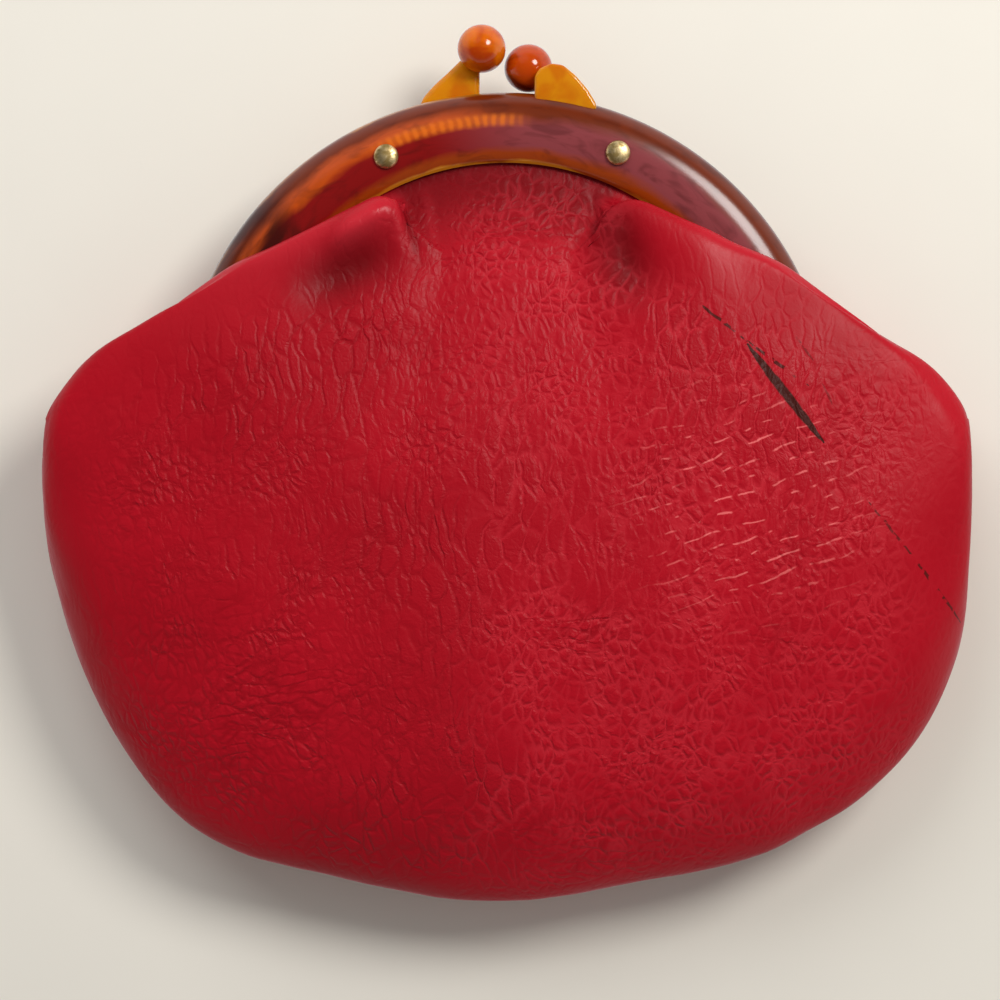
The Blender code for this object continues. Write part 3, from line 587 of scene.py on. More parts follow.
def at_angle(radius, angle):
    """A place on the plan, at an angle from the Y axis towards +X."""
    return Vector((radius * math.sin(angle), radius * math.cos(angle), 0.0))


def on_plane(plan, h, side):
    """Raise a plan point to h before or behind the parting plane."""
    return Vector((plan.x, plan.y, MID_Z + side * h))


def mesh_of(name, bm):
    """Make a mesh of a bmesh, which is freed."""
    mesh = bpy.data.meshes.new(name)
    bm.to_mesh(mesh)
    bm.free()
    return mesh


def show(name, data):
    """Put a mesh, a lamp or a camera into the scene."""
    piece = bpy.data.objects.new(name, data)
    bpy.context.collection.objects.link(piece)
    return piece


def finish_piece(name, bm, material, body, slot, *nodes):
    """Make the object of a bmesh, and tie it to the body and nodes that it stands for. The slot is not used.
    """
    piece = show(name, mesh_of(name, bm))
    piece.data.materials.append(material)
    if body:
        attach(piece, body)
    if nodes:
        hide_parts(*nodes)
    return piece


def apply_modifiers(piece):
    """Replace a piece's mesh by what its modifiers make of it."""
    graph = bpy.context.evaluated_depsgraph_get()
    made = bpy.data.meshes.new_from_object(piece.evaluated_get(graph))
    piece.modifiers.clear()
    piece.data = made


def shade_round(piece, angle=35.0):
    piece.data.shade_smooth()
    piece.data.set_sharp_from_angle(angle=math.radians(angle))


def place_half(bm, side):
    """Lift a half that was built with h as Z, and turn it over for the back."""
    if side < 0:
        bmesh.ops.scale(bm, vec=(1, 1, -1), verts=bm.verts)
        bmesh.ops.reverse_faces(bm, faces=bm.faces)
    bmesh.ops.translate(bm, verts=bm.verts, vec=UP * MID_Z)
    return bm


def extrude_outline(points, offset):
    """A prism from a flat outline, with its faces turned outwards."""
    bm = bmesh.new()
    face = bm.faces.new([bm.verts.new(point) for point in points])
    moved = bmesh.ops.extrude_face_region(bm, geom=[face])["geom"]
    verts = [item for item in moved if isinstance(item, bmesh.types.BMVert)]
    bmesh.ops.translate(bm, verts=verts, vec=offset)
    bmesh.ops.recalc_face_normals(bm, faces=bm.faces)
    return bm


def sweep_section(section, angle, steps):
    """Spin a section of (radius, h) pairs round the hinge's middle, from -angle to +angle."""
    bm = bmesh.new()
    verts = [bm.verts.new((0.0, radius, h)) for radius, h in section]
    face = bm.faces.new(verts)
    bmesh.ops.rotate(bm, verts=bm.verts, cent=(0, 0, 0), matrix=Matrix.Rotation(angle, 3, UP))
    bmesh.ops.spin(
        bm,
        geom=[face] + list(face.edges) + verts,
        cent=(0, 0, 0),
        axis=-UP,
        dvec=(0, 0, 0),
        angle=2 * angle,
        steps=steps,
        use_merge=False,
        use_duplicate=False,
    )
    bmesh.ops.recalc_face_normals(bm, faces=bm.faces)
    return bm


def turned(points, axis, steps):
    """Spin a profile that starts and ends on an axis through the origin."""
    bm = bmesh.new()
    verts = [bm.verts.new(point) for point in points]
    edges = [bm.edges.new(pair) for pair in zip(verts, verts[1:])]
    bmesh.ops.spin(
        bm,
        geom=verts + edges,
        cent=(0, 0, 0),
        axis=axis,
        dvec=(0, 0, 0),
        angle=2 * math.pi,
        steps=steps,
        use_merge=True,
        use_duplicate=False,
    )
    bmesh.ops.remove_doubles(bm, verts=bm.verts, dist=SEAT_GAP / 100)
    bmesh.ops.recalc_face_normals(bm, faces=bm.faces)
    return bm


def cut_or_join(piece, bm, operation):
    """Apply one boolean step to a piece, with a bmesh as the other body."""
    tool = show("tool", mesh_of("tool", bm))
    step = piece.modifiers.new(operation.title(), "BOOLEAN")
    step.object = tool
    step.operation = operation
    step.solver = "EXACT"
    apply_modifiers(piece)
    bpy.data.objects.remove(tool, do_unlink=True)


# Materials

def new_material(name):
    made = bpy.data.materials.new(name)
    made.use_nodes = True
    tree = made.node_tree
    return made, tree, tree.nodes["Principled BSDF"]


def feed(tree, node, inputs):
    """Link sockets to a node's inputs, and set its other inputs to the values given."""
    for key, value in inputs.items():
        if isinstance(value, bpy.types.NodeSocket):
            tree.links.new(value, node.inputs[key])
        else:
            node.inputs[key].default_value = value


def put(tree, kind, inputs=None, **settings):
    """Add a node, set its properties and feed its inputs."""
    node = tree.nodes.new(kind)
    for name, value in settings.items():
        setattr(node, name, value)
    feed(tree, node, inputs or {})
    return node


def sum_of(tree, operation, first, second=0.0, third=0.0):
    """The result of one Math node."""
    return put(tree, "ShaderNodeMath", {0: first, 1: second, 2: third}, operation=operation).outputs[0]


def times(tree, first, second):
    return sum_of(tree, "MULTIPLY", first, second)


def vector_sum(tree, operation, first, second=(0.0, 0.0, 0.0)):
    """The outputs of one Vector Math node."""
    return put(tree, "ShaderNodeVectorMath", {0: first, 1: second}, operation=operation).outputs


def scaled(tree, way, scale):
    inputs = {0: way, "Scale": scale}
    return put(tree, "ShaderNodeVectorMath", inputs, operation="SCALE").outputs["Vector"]


def parts_of(tree, place):
    """The outputs X, Y and Z of a place."""
    return put(tree, "ShaderNodeSeparateXYZ", {0: place}).outputs


def between(tree, value, low, high, low_value=0.0, high_value=1.0):
    """A smooth step from one value to another as a socket goes from low to high."""
    inputs = {"Value": value, "From Min": low, "From Max": high}
    inputs.update({"To Min": low_value, "To Max": high_value})
    node = put(tree, "ShaderNodeMapRange", inputs, interpolation_type="SMOOTHSTEP")
    return node.outputs["Result"]


def within(tree, value, low, high, edge):
    """1 while a socket is between two values, fading over an edge outside them."""
    over = between(tree, value, low - edge, low)
    return times(tree, over, between(tree, value, high, high + edge, 1.0, 0.0))


def mixed_value(tree, share, first, second):
    """One number mixed into another by a share."""
    step = sum_of(tree, "SUBTRACT", second, first)
    return sum_of(tree, "MULTIPLY_ADD", step, share, first)


def mixed(tree, share, first, second):
    """One colour mixed into another by a share."""
    inputs = {0: share}
    for index, colour in ((6, first), (7, second)):
        inputs[index] = colour if isinstance(colour, bpy.types.NodeSocket) else (*colour, 1.0)
    return put(tree, "ShaderNodeMix", inputs, data_type="RGBA").outputs[2]


def layered(tree, colour, layers):
    """A colour with others laid over it in turn, each by its own share."""
    for share, shade in layers:
        colour = mixed(tree, share, colour, shade)
    return colour


def ramp_of(tree, value, look, bands):
    """A colour ramp over a socket, from pairs of a place and the name of a colour of the look."""
    node = put(tree, "ShaderNodeValToRGB", {"Fac": value})
    elements = node.color_ramp.elements
    while len(elements) < len(bands):
        elements.new(1.0)
    for element, (place, name) in zip(elements, bands):
        element.position = place
        element.color = (*getattr(look, name), 1.0)
    return node.outputs["Color"]


def noise_of(tree, place, scale, detail=2.0, distortion=0.0, output="Fac"):
    inputs = {"Vector": place, "Scale": scale, "Detail": detail, "Distortion": distortion}
    return put(tree, "ShaderNodeTexNoise", inputs).outputs[output]


def patches_of(tree, place, scale, low, high):
    """Soft patches: 1 inside a patch and 0 between them."""
    return between(tree, noise_of(tree, place, scale), low, high)


def stretched(tree, place, scale, turn=0.0):
    """Scale a place along each axis, and turn it about Z."""
    inputs = {"Vector": place, "Scale": scale, "Rotation": (0.0, 0.0, turn)}
    return put(tree, "ShaderNodeMapping", inputs).outputs["Vector"]


def jittered(tree, place, scale, reach):
    """Push places about by a little noise, so that a pattern isn't regular."""
    wobble = noise_of(tree, place, scale, output="Color")
    centred = vector_sum(tree, "SUBTRACT", wobble, (0.5, 0.5, 0.5))["Vector"]
    return vector_sum(tree, "ADD", place, scaled(tree, centred, reach))["Vector"]


def bumped(tree, height, distance):
    inputs = {"Height": height, "Distance": distance, "Strength": 1.0}
    return put(tree, "ShaderNodeBump", inputs).outputs["Normal"]


def noted(tree, name, output="Fac"):
    """What the sheets keep as an attribute: a share, or the place on the closed purse."""
    return put(tree, "ShaderNodeAttribute", attribute_name=name).outputs[output]


def object_place(tree):
    return put(tree, "ShaderNodeTexCoord").outputs["Object"]


def net_of(tree, place, grain, size_share, stretch, line):
    """The lines between a net of cells: 1 on a line and 0 away from it."""
    scale = 1.0 / (grain * size_share)
    inputs = {"Vector": stretched(tree, place, stretch), "Scale": scale, "Randomness": 1.0}
    cells = put(tree, "ShaderNodeTexVoronoi", inputs, feature="DISTANCE_TO_EDGE")
    return between(tree, cells.outputs["Distance"], 0.0, line, 1.0, 0.0)


def stroke_of(tree, place, start, end, half_width):
    """A mark along a line on the plan, widest at its middle: 1 on it and 0 beside it."""
    start = Vector((*start, 0.0)) * MM
    run = Vector((*end, 0.0)) * MM - start
    offset = vector_sum(tree, "SUBTRACT", place, start)["Vector"]
    offset = vector_sum(tree, "MULTIPLY", offset, (1, 1, 0))["Vector"]
    along = vector_sum(tree, "DOT_PRODUCT", offset, run / run.length_squared)["Value"]
    held = sum_of(tree, "MINIMUM", sum_of(tree, "MAXIMUM", along, 0.0), 1.0)
    away = vector_sum(tree, "DISTANCE", offset, scaled(tree, run, held))["Value"]
    taper = times(tree, held, sum_of(tree, "SUBTRACT", 1.0, held))
    tip = SCUFF_TIP_SHARE * half_width * MM
    width = sum_of(tree, "MULTIPLY_ADD", taper, 4 * (half_width * MM - tip), tip)
    return between(tree, sum_of(tree, "DIVIDE", away, width), *SCUFF_EDGE_SHARES, 1.0, 0.0)


def scuffs_of(tree, place):
    """The dark marks that something sharp left across the front."""
    broken = patches_of(tree, place, 650.0, 0.44, 0.52)
    ragged = jittered(tree, place, 500.0, 0.5 * MM)
    total = 0.0
    for start, end, half_width, strength, dashed in SCUFFS:
        mark = times(tree, stroke_of(tree, ragged, start, end, half_width), strength)
        if dashed:
            mark = times(tree, mark, broken)
        total = sum_of(tree, "MAXIMUM", total, mark)
    return total


def dashes_of(tree, place, grain):
    """Short bright rubbed lines across the grain, on one side of the belly."""
    wavy = jittered(tree, jittered(tree, place, 90.0, 4.0 * MM), 420.0, 0.7 * MM)
    across = parts_of(tree, stretched(tree, wavy, (1.0, 1.0, 1.0), RUBBED_TURN))["Y"]
    wave = sum_of(tree, "SINE", times(tree, across, 2 * math.pi / (grain * RUBBED_STEP_SHARE)))
    lines = between(tree, wave, 0.88, 1.0)
    middle = Vector((*RUBBED_PLACE, MID_Z + BELLY_DEPTH))
    away = vector_sum(tree, "DISTANCE", place, middle)["Value"]
    near = between(tree, away, RUBBED_REACH / 3, RUBBED_REACH, 0.6, 0.0)
    return times(tree, times(tree, lines, near), patches_of(tree, place, 420.0, 0.5, 0.6))


def leather_material(name, look, scuffed):
    """Pebbled leather: rounded grains, lighter creases, smoother where it is stretched."""
    made, tree, shader = new_material(name)
    place = noted(tree, "rest_place", "Vector")
    grain = noted(tree, "grain_share")
    wear_and_highlight = noted(tree, "wear_and_highlight_share")
    bent = jittered(tree, jittered(tree, place, 70.0, 6.0 * MM), 420.0, 1.2 * MM)
    pebbles, tall, fine, cross = (net_of(tree, bent, look.grain, *row) for row in GRAIN_NETS)
    crease = mixed_value(tree, patches_of(tree, place, 30.0, 0.40, 0.56), tall, pebbles)
    cross = times(tree, cross, times(tree, patches_of(tree, place, 38.0, 0.54, 0.72), grain))
    patches = noise_of(tree, place, 130.0, 3.0)
    marked = times(tree, grain, between(tree, patches, 0.34, 0.66, 0.4, 1.0))
    shown = times(tree, sum_of(tree, "POWER", crease, 3.0), marked)

    drift = between(tree, noise_of(tree, place, 26.0), 0.3, 0.7, 0.35, 0.0)
    turning = between(tree, parts_of(tree, bent)["X"], *DARK_LINES_X)
    layers = [
        (drift, look.deep),
        # Painted shade in the hollows and pleats, and painted shadow under the frame's lip
        (noted(tree, "painted_shade_share"), look.painted_hollow_shade),
        (times(tree, shown, 0.32), mixed(tree, turning, look.deep, look.crease)),
        (times(tree, cross, 0.35), look.deep),
        # Lighter crests of the folds: partly wear, partly painted highlight
        (times(tree, wear_and_highlight, 0.5), look.crease),
    ]
    if scuffed:
        layers.append((dashes_of(tree, place, look.grain), look.rubbed))
        layers.append((scuffs_of(tree, place), look.scuff))

    height = sum_of(tree, "MULTIPLY_ADD", fine, -0.16, times(tree, crease, -1.0))
    height = sum_of(tree, "MULTIPLY_ADD", cross, -0.4, times(tree, height, marked))
    height = sum_of(tree, "MULTIPLY_ADD", noise_of(tree, place, 1500.0), 0.08, height)
    dull = between(tree, patches, 0.3, 0.7, 0.38, 0.48)
    finish = {
        "Base Color": layered(tree, look.red, layers),
        "Roughness": sum_of(tree, "MULTIPLY_ADD", wear_and_highlight, -0.14, dull),
        "Normal": bumped(tree, height, look.grain_depth),
        "Specular IOR Level": 0.13,
    }
    feed(tree, shader, finish)
    return made


def cloth_material(look):
    """Plain woven cotton."""
    made, tree, shader = new_material("lining_cloth")
    place = jittered(tree, noted(tree, "rest_place", "Vector"), 300.0, 0.15 * MM)
    threads = []
    for turn in (0.0, math.pi / 2):
        inputs = {"Scale": 0.5 / look.thread, "Distortion": 0.4}
        inputs["Vector"] = stretched(tree, place, (1.0, 1.0, 1.0), turn)
        threads.append(put(tree, "ShaderNodeTexWave", inputs, bands_direction="X").outputs["Fac"])
    weave = times(tree, *threads)
    between_threads = [value * 0.55 for value in look.cloth]
    finish = {
        "Base Color": mixed(tree, weave, between_threads, look.cloth),
        "Normal": bumped(tree, weave, 0.08 * MM),
        "Roughness": 0.9,
        "Sheen Weight": 0.06,
    }
    feed(tree, shader, finish)
    return made


def frame_material(look):
    """Clouded amber, banded from the frame's outer edge to its lip."""
    made, tree, shader = new_material("amber_frame")
    x, y, z = parts_of(tree, object_place(tree))
    flat = put(tree, "ShaderNodeCombineXYZ", {0: x, 1: y}).outputs[0]
    radius = vector_sum(tree, "LENGTH", flat)["Value"]
    turn = sum_of(tree, "ARCTAN2", x, y)
    along = times(tree, turn, FRAME_OUTER_R)
    flow = {0: along, 1: times(tree, radius, 3.0), 2: z}
    flow = put(tree, "ShaderNodeCombineXYZ", flow).outputs[0]
    swirl = noise_of(tree, flow, 55.0, 4.0, 0.8)
    band = {"Value": radius, "From Min": FRAME_OUTER_R, "From Max": FRAME_INNER_R}
    inward = put(tree, "ShaderNodeMapRange", band).outputs["Result"]
    drifted = sum_of(tree, "MULTIPLY_ADD", swirl, 0.26, sum_of(tree, "SUBTRACT", inward, 0.13))
    left, right = (ramp_of(tree, drifted, look, bands) for bands in (LEFT_BANDS, RIGHT_BANDS))

    veins = noise_of(tree, flow, 150.0, 2.0, 1.2)
    dark_end = times(tree, between(tree, turn, -0.72, -0.9), between(tree, swirl, 0.40, 0.56))
    phase = times(tree, swirl, 9.0)
    steps = sum_of(tree, "MULTIPLY_ADD", along, 2 * math.pi / GRIP_STEP, phase)
    teeth = between(tree, sum_of(tree, "SINE", steps), -1.0, 1.0, 0.45, 1.0)
    teeth = times(tree, teeth, within(tree, turn, *GRIP_TURNS))
    teeth = times(tree, teeth, within(tree, radius, *GRIP_RADII))
    layers = (
        # The right side takes the bands whose mauve is partly painted reflection
        (between(tree, turn, -0.3, 0.12), right),
        (between(tree, veins, 0.46, 0.76, 0.0, 0.4), look.dark),
        (times(tree, dark_end, 0.9), look.dark),
        (times(tree, teeth, 0.7), look.glow),
    )
    finish = {
        "Base Color": layered(tree, left, layers),
        "Roughness": 0.3,
        "Specular IOR Level": 0.05,
        "Transmission Weight": 0.1,
        "Coat Weight": 0.65,
        "Coat Roughness": 0.18,
    }
    feed(tree, shader, finish)
    return made


def amber_material(name, colour, deep):
    """Clear, lightly clouded amber of the clasp."""
    made, tree, shader = new_material(name)
    cloud = between(tree, noise_of(tree, object_place(tree), 170.0, 3.0, 0.6), 0.42, 0.66)
    finish = {
        "Base Color": mixed(tree, cloud, colour, deep),
        "Roughness": 0.2,
        "Specular IOR Level": 0.05,
        "Transmission Weight": 0.12,
        "Subsurface Weight": 0.35,
        "Subsurface Radius": (1.0, 0.35, 0.05),
        "Subsurface Scale": 1.6 * MM,
        "Coat Weight": 0.7,
        "Coat Roughness": 0.06,
    }
    feed(tree, shader, finish)
    return made


def brass_material(look):
    """Aged brass: rubbed bright in spots, duller and browner between them."""
    made, tree, shader = new_material("antique_brass")
    spots = noise_of(tree, object_place(tree), 900.0, 4.0, 0.5)
    finish = {
        "Base Color": mixed(tree, between(tree, spots, 0.38, 0.62), look.aged, look.bright),
        "Roughness": between(tree, spots, 0.3, 0.7, 0.6, 0.38),
        "Normal": bumped(tree, spots, 0.05 * MM),
        "Metallic": 1.0,
    }
    feed(tree, shader, finish)
    return made


def steel_material(look):
    """Rolled strip, with fine scratches along it."""
    made, tree, shader = new_material("strip_steel")
    lines = noise_of(tree, stretched(tree, object_place(tree), (60.0, 900.0, 900.0)), 1.0, 3.0)
    scratched = [value * 0.7 for value in look.steel]
    finish = {
        "Base Color": mixed(tree, lines, scratched, look.steel),
        "Roughness": between(tree, lines, 0.3, 0.7, 0.3, 0.45),
        "Metallic": 1.0,
    }
    feed(tree, shader, finish)
    return made


# Pouch

def corner_point(hand):
    """Where the rim turns in towards a hinge."""
    share, across, down = RIM_SHARES[-1 if hand > 0 else 0]
    return Vector((across * BAG_HALF_WIDTH, down * BAG_DROP, 0.0))


def seam_end(hand):
    """Where the seam ends, below a hinge."""
    return Vector((hand * (FRAME_INNER_R + SEAM_END_OUT), -EAR_R - SEAM_CLEARANCE, 0.0))


def wall_rim(row, hand):
    """The rim's place for one row of the wall between corner and hinge."""
    plan = corner_point(hand).lerp(seam_end(hand), row[1])
    plan.y -= row[2] * EAR_R
    return plan


def rim_table():
    """The whole rim, as pairs of an angle share and a plan place."""
    rows = [(-row[0], wall_rim(row, -1)) for row in reversed(WALL_SHARES)]
    for share, across, down in RIM_SHARES:
        rows.append((share, Vector((across * BAG_HALF_WIDTH, down * BAG_DROP, 0.0))))
    rows += [(row[0], wall_rim(row, 1)) for row in WALL_SHARES]
    return rows


RIM = rim_table()


def rim_row(angle_share):
    """The rim's plan place for a rib, on a smooth curve through the table."""
    for index, (low, high) in enumerate(zip(RIM, RIM[1:])):
        if angle_share <= high[0]:
            break
    share = (angle_share - low[0]) / (high[0] - low[0])
    return spline_point([plan for row_share, plan in RIM], index + min(max(share, 0.0), 1.0))


def rib_share(index, count):
    """Spread the ribs along the rim table, so that its corners keep their ribs."""
    position = index * (len(RIM) - 1) / (count - 1)
    row = min(int(position), len(RIM) - 2)
    low, high = RIM[row][0], RIM[row + 1][0]
    return low + (high - low) * (position - row)


def fold_crest(reach, hand):
    """The plan place and the height of the lobe's fold on one rib."""
    lip = at_angle(FRAME_INNER_R + SEAT_GAP * 3, hand * reach * LEATHER_END_ANGLE)
    run = corner_point(hand) - lip
    out = Vector((-run.y, run.x, 0.0)) * hand
    plan = lip + run * table_value(CREST_SHARES, reach, 1) + out * table_value(CREST_SHARES, reach, 2)
    return plan, table_value(CREST_SHARES, reach, 3) * OVER_FRAME_H


def crest_point(angle_share):
    """The plan place and the height where a rib turns over."""
    reach = max(abs(angle_share), CREST_SHARES[0][0])
    hand = math.copysign(1.0, angle_share)
    corner_reach = CREST_SHARES[-1][0]
    if reach <= corner_reach:
        return fold_crest(reach, hand)
    rows = [(corner_reach,) + fold_crest(corner_reach, hand)]
    for row in WALL_SHARES:
        plan = wall_rim(row, hand)
        plan.y = row[3] * EAR_R
        rows.append((row[0], plan, row[4] * EAR_R))
    for low, high in zip(rows, rows[1:]):
        if reach <= high[0]:
            break
    share = min((reach - low[0]) / (high[0] - low[0]), 1.0)
    return low[1].lerp(high[1], share), low[2] + (high[2] - low[2]) * share


def leather_rib(angle_share, side):
    """The outer face of the leather along one rib, from the channel to the rim.

    Between the rivets it runs straight on to the belly. Past them it stands up just inside the
    frame's lip and folds. Towards the hinges it turns back over the lip, lies on the frame, folds
    at the lobe's crest and comes down to the rim. The last ribs have no fold: they are the wall
    between the lobes, and end at the seam behind it.
    """
    angle = angle_share * LEATHER_END_ANGLE
    reach = abs(angle_share)
    fold = smooth_step(*FOLD_RANGE_SHARES, reach)
    wall = smooth_step(*WALL_RANGE_SHARES, reach)
    lip = FRAME_INNER_R
    rim = rim_row(angle_share)
    path = [
        on_plane(at_angle(LEATHER_EDGE_R, angle), LEATHER_H, side),
        on_plane(at_angle(lip - SEAT_GAP, angle), LEATHER_H, side),
    ]
    plain = [
        on_plane(at_angle(lip - NECK_STEP * inward, angle), LEATHER_H + NECK_STEP * up, side)
        for inward, up in NECK_SHARES
    ]
    crest, crest_h = crest_point(angle_share)
    short_of_lip = OVER_SETBACK * (1 - smooth_step(*OVER_RANGE_SHARES, reach))
    over = at_angle(lip + SEAT_GAP * 3 - short_of_lip, angle)
    outward = (crest - over + at_angle(FOLD_HEIGHT, angle)).normalized()
    top = crest - outward * FOLD_SETBACK
    top_rise = FOLD_HEIGHT / 2 * (1 - smooth_step(*TOP_FADE_SHARES, reach))
    lying_h = OVER_FRAME_H + SEAT_GAP / 2
    nose_h = max(crest_h - FOLD_HEIGHT / 2, 0.0)
    off_frame = smooth_step(FRAME_OUTER_R, FRAME_OUTER_R + FOLD_HEIGHT, crest.length)
    nose_h += (max(nose_h, lying_h) - nose_h) * (1 - off_frame)
    nose_h += ((lying_h + crest_h) / 2 - nose_h) * wall
    short = 1 - min((crest - over).length / FOLD_HEIGHT, 1.0)
    crest_rise = crest_h - OVER_FRAME_H
    lying_h += (OVER_FRAME_H + crest_rise * SHORT_LYING_SHARE - lying_h) * short
    nose_h += (OVER_FRAME_H + crest_rise * SHORT_NOSE_SHARE - nose_h) * short
    past_roof = at_angle(lip - SEAT_GAP * 3 - short_of_lip / 3, angle)
    past_skin = at_angle(lip - SEAT_GAP * 2.4 - short_of_lip / 2, angle)
    folded = [
        on_plane(past_roof, CHANNEL_ROOF_H + SEAT_GAP, side),
        on_plane(past_skin, FRAME_HALF_DEPTH - SEAT_GAP * 2, side),
        on_plane(over, OVER_FRAME_H, side),
        on_plane(over.lerp(crest, 0.5), lying_h, side),
        on_plane(over.lerp(crest, 0.84), nose_h, side),
        on_plane(crest, crest_h, side),
        on_plane(top, crest_h + top_rise, side),
    ]
    path += [a.lerp(b, fold) for a, b in zip(plain, folded)]
    belly = belly_run(path[-1], rim, angle_share, side)
    if wall > 0:
        path[-1] = path[-1].lerp(on_plane(crest.lerp(rim, 0.08), crest_h * 0.97, side), wall)
        behind = []
        for i in range(1, len(belly) + 1):
            turn = math.pi / 2 * (0.1 + 0.9 * i / len(belly))
            plan = crest.lerp(rim, math.sin(turn))
            behind.append(on_plane(plan, SEAM_H + (crest_h - SEAM_H) * math.cos(turn), side))
        belly = [a.lerp(b, wall) for a, b in zip(belly, behind)]
    return path + belly


def belly_run(neck, rim, angle_share, side):
    """The points from a rib's neck over the belly to the rim."""
    reach = abs(angle_share)
    lobe = smooth_step(*LOBE_RANGE_SHARES, reach)
    neck_h = abs(neck.z - MID_Z)
    neck = Vector((neck.x, neck.y, 0.0))
    across = (rim - neck).normalized()
    lift = Vector((abs(across.y), abs(across.x), 0.0)) * (rim - neck).length
    lift.x = math.copysign(lift.x, angle_share)
    lift_share = lobe * LOBE_LIFT_SHARES[1] * smooth_step(0.0, LOBE_LIFT_SHARES[0], reach)
    depth = BELLY_DEPTH + (OVER_FRAME_H + LOBE_RISE - BELLY_DEPTH) * lobe
    depth *= 1 - CORNER_DEPTH_SHARE * smooth_step(*CORNER_RANGE_SHARES, reach)
    points = []
    for way, front_share, back_share in BELLY_SHARES:
        plan = neck.lerp(rim, way) + lift * lift_share * math.sin(way * math.pi)
        crown = min((front_share if side > 0 else back_share) * depth, BELLY_DEPTH)
        turn_way = BELLY_SHARES[1][0] if side > 0 else BACK_TURN_SHARE
        h = neck_h + (crown - neck_h) * math.sin(min(way / turn_way, 1.0) * math.pi / 2)
        points.append(on_plane(plan, h, side))
    points.append(on_plane(rim, SEAM_H, side))
    return points


def lining_rib(angle_share, side):
    """The outer face of the lining, which hangs straight from the lip inside the leather."""
    angle = angle_share * LEATHER_END_ANGLE
    reach = abs(angle_share)
    lobe = smooth_step(*LINING_RANGE_SHARES, reach)
    lip = FRAME_INNER_R
    path = [
        on_plane(at_angle(LEATHER_EDGE_R, angle), LINING_H, side),
        on_plane(at_angle(lip - NECK_STEP * 1.5, angle), LINING_H, side),
        on_plane(at_angle(lip - NECK_STEP * 2.5, angle), LINING_H + NECK_STEP * 0.15, side),
    ]
    neck = Vector((path[-1].x, path[-1].y, 0.0))
    below_hinge = seam_end(1).y - LEATHER - SEAT_GAP * 3
    rim = rim_row(angle_share)
    rim = rim - rim.normalized() * LINING_INSET * 2
    rim.y = min(rim.y, below_hinge)
    end = smooth_step(*LINING_END_SHARES, reach)
    rim = rim.lerp(Vector((math.copysign(lip - NECK_STEP, angle), below_hinge, 0.0)), end)
    room = (LINING_REACH_SHARE - reach) * FRAME_INNER_R
    gate = Vector((neck.x * LINING_GATE_SHARE, below_hinge - room, 0.0))
    depth = (BELLY_DEPTH - LINING_INSET * 2) * (1 - LINING_DEPTH_SHARE * lobe)
    turn_way = BELLY_SHARES[1][0]
    for way, front_share, back_share in BELLY_SHARES:
        if way <= turn_way:
            bent = neck.lerp(gate, way / turn_way)
        else:
            bent = gate.lerp(rim, (way - turn_way) / (1 - turn_way))
        plan = neck.lerp(rim, way).lerp(bent, lobe)
        crown = min(front_share if side > 0 else back_share, 1.0) * depth
        h = LINING_H + (crown - LINING_H) * smooth_step(0.0, turn_way, way)
        path.append(on_plane(plan, h, side))
    path.append(on_plane(rim, SEAM_H, side))
    return path


def fine_sheet(net, rib_steps, span_steps, side):
    """A fine grid laid on the smooth surface through a net of points, with its face outwards."""
    spots = []
    for span, count in enumerate(span_steps):
        spots += [span + part / count for part in range(count)]
    spots.append(len(span_steps))
    columns = (len(net) - 1) * rib_steps
    bm = bmesh.new()
    bmesh.ops.create_grid(bm, x_segments=columns, y_segments=len(spots) - 1, size=1.0)
    rows = list(zip(*net))
    ribs = [[spline_point(row, i / rib_steps) for row in rows] for i in range(columns + 1)]
    folds = bm.verts.layers.float.new("wear_and_highlight_share")
    for vert in bm.verts:
        column = round((vert.co.x + 1) / 2 * columns)
        row = round((vert.co.y + 1) / 2 * (len(spots) - 1))
        vert.co = spline_point(ribs[column], spots[row])
        past_rivets = smooth_step(*FOLD_RANGE_SHARES, abs(2 * column / columns - 1))
        # The lobe's crest is lighter: partly wear, partly painted highlight
        vert[folds] = CREST_WEAR_AND_HIGHLIGHT * past_rivets * math.exp(-((spots[row] - CREST_SPOT) ** 2))
    bm.normal_update()
    facing = sum(face.normal.z * face.calc_area() for face in bm.faces)
    if facing * side < 0:
        bmesh.ops.reverse_faces(bm, faces=bm.faces)
    inner = [vert for vert in bm.verts if not vert.is_boundary]
    for _ in range(SMOOTH_ROUNDS):
        bmesh.ops.smooth_vert(
            bm, verts=inner, factor=0.5, use_axis_x=True, use_axis_y=True, use_axis_z=True
        )
    bm.normal_update()
    return bm


def fold_height(plan, start, end, width, height):
    """How far one fold, with its place in millimetres, lifts a plan place. Both its ends fade."""
    start = Vector(start) * MM
    run = Vector(end) * MM - start
    width = width * MM
    share = (plan - start).dot(run) / run.length_squared
    off = (plan - start - run * share).length
    fade = smooth_step(*FOLD_FADE_SHARES, share) * smooth_step(*FOLD_FADE_SHARES, 1 - share)
    if off > width * 3:
        return 0.0
    return height * math.exp(-((off / width) ** 2)) * fade


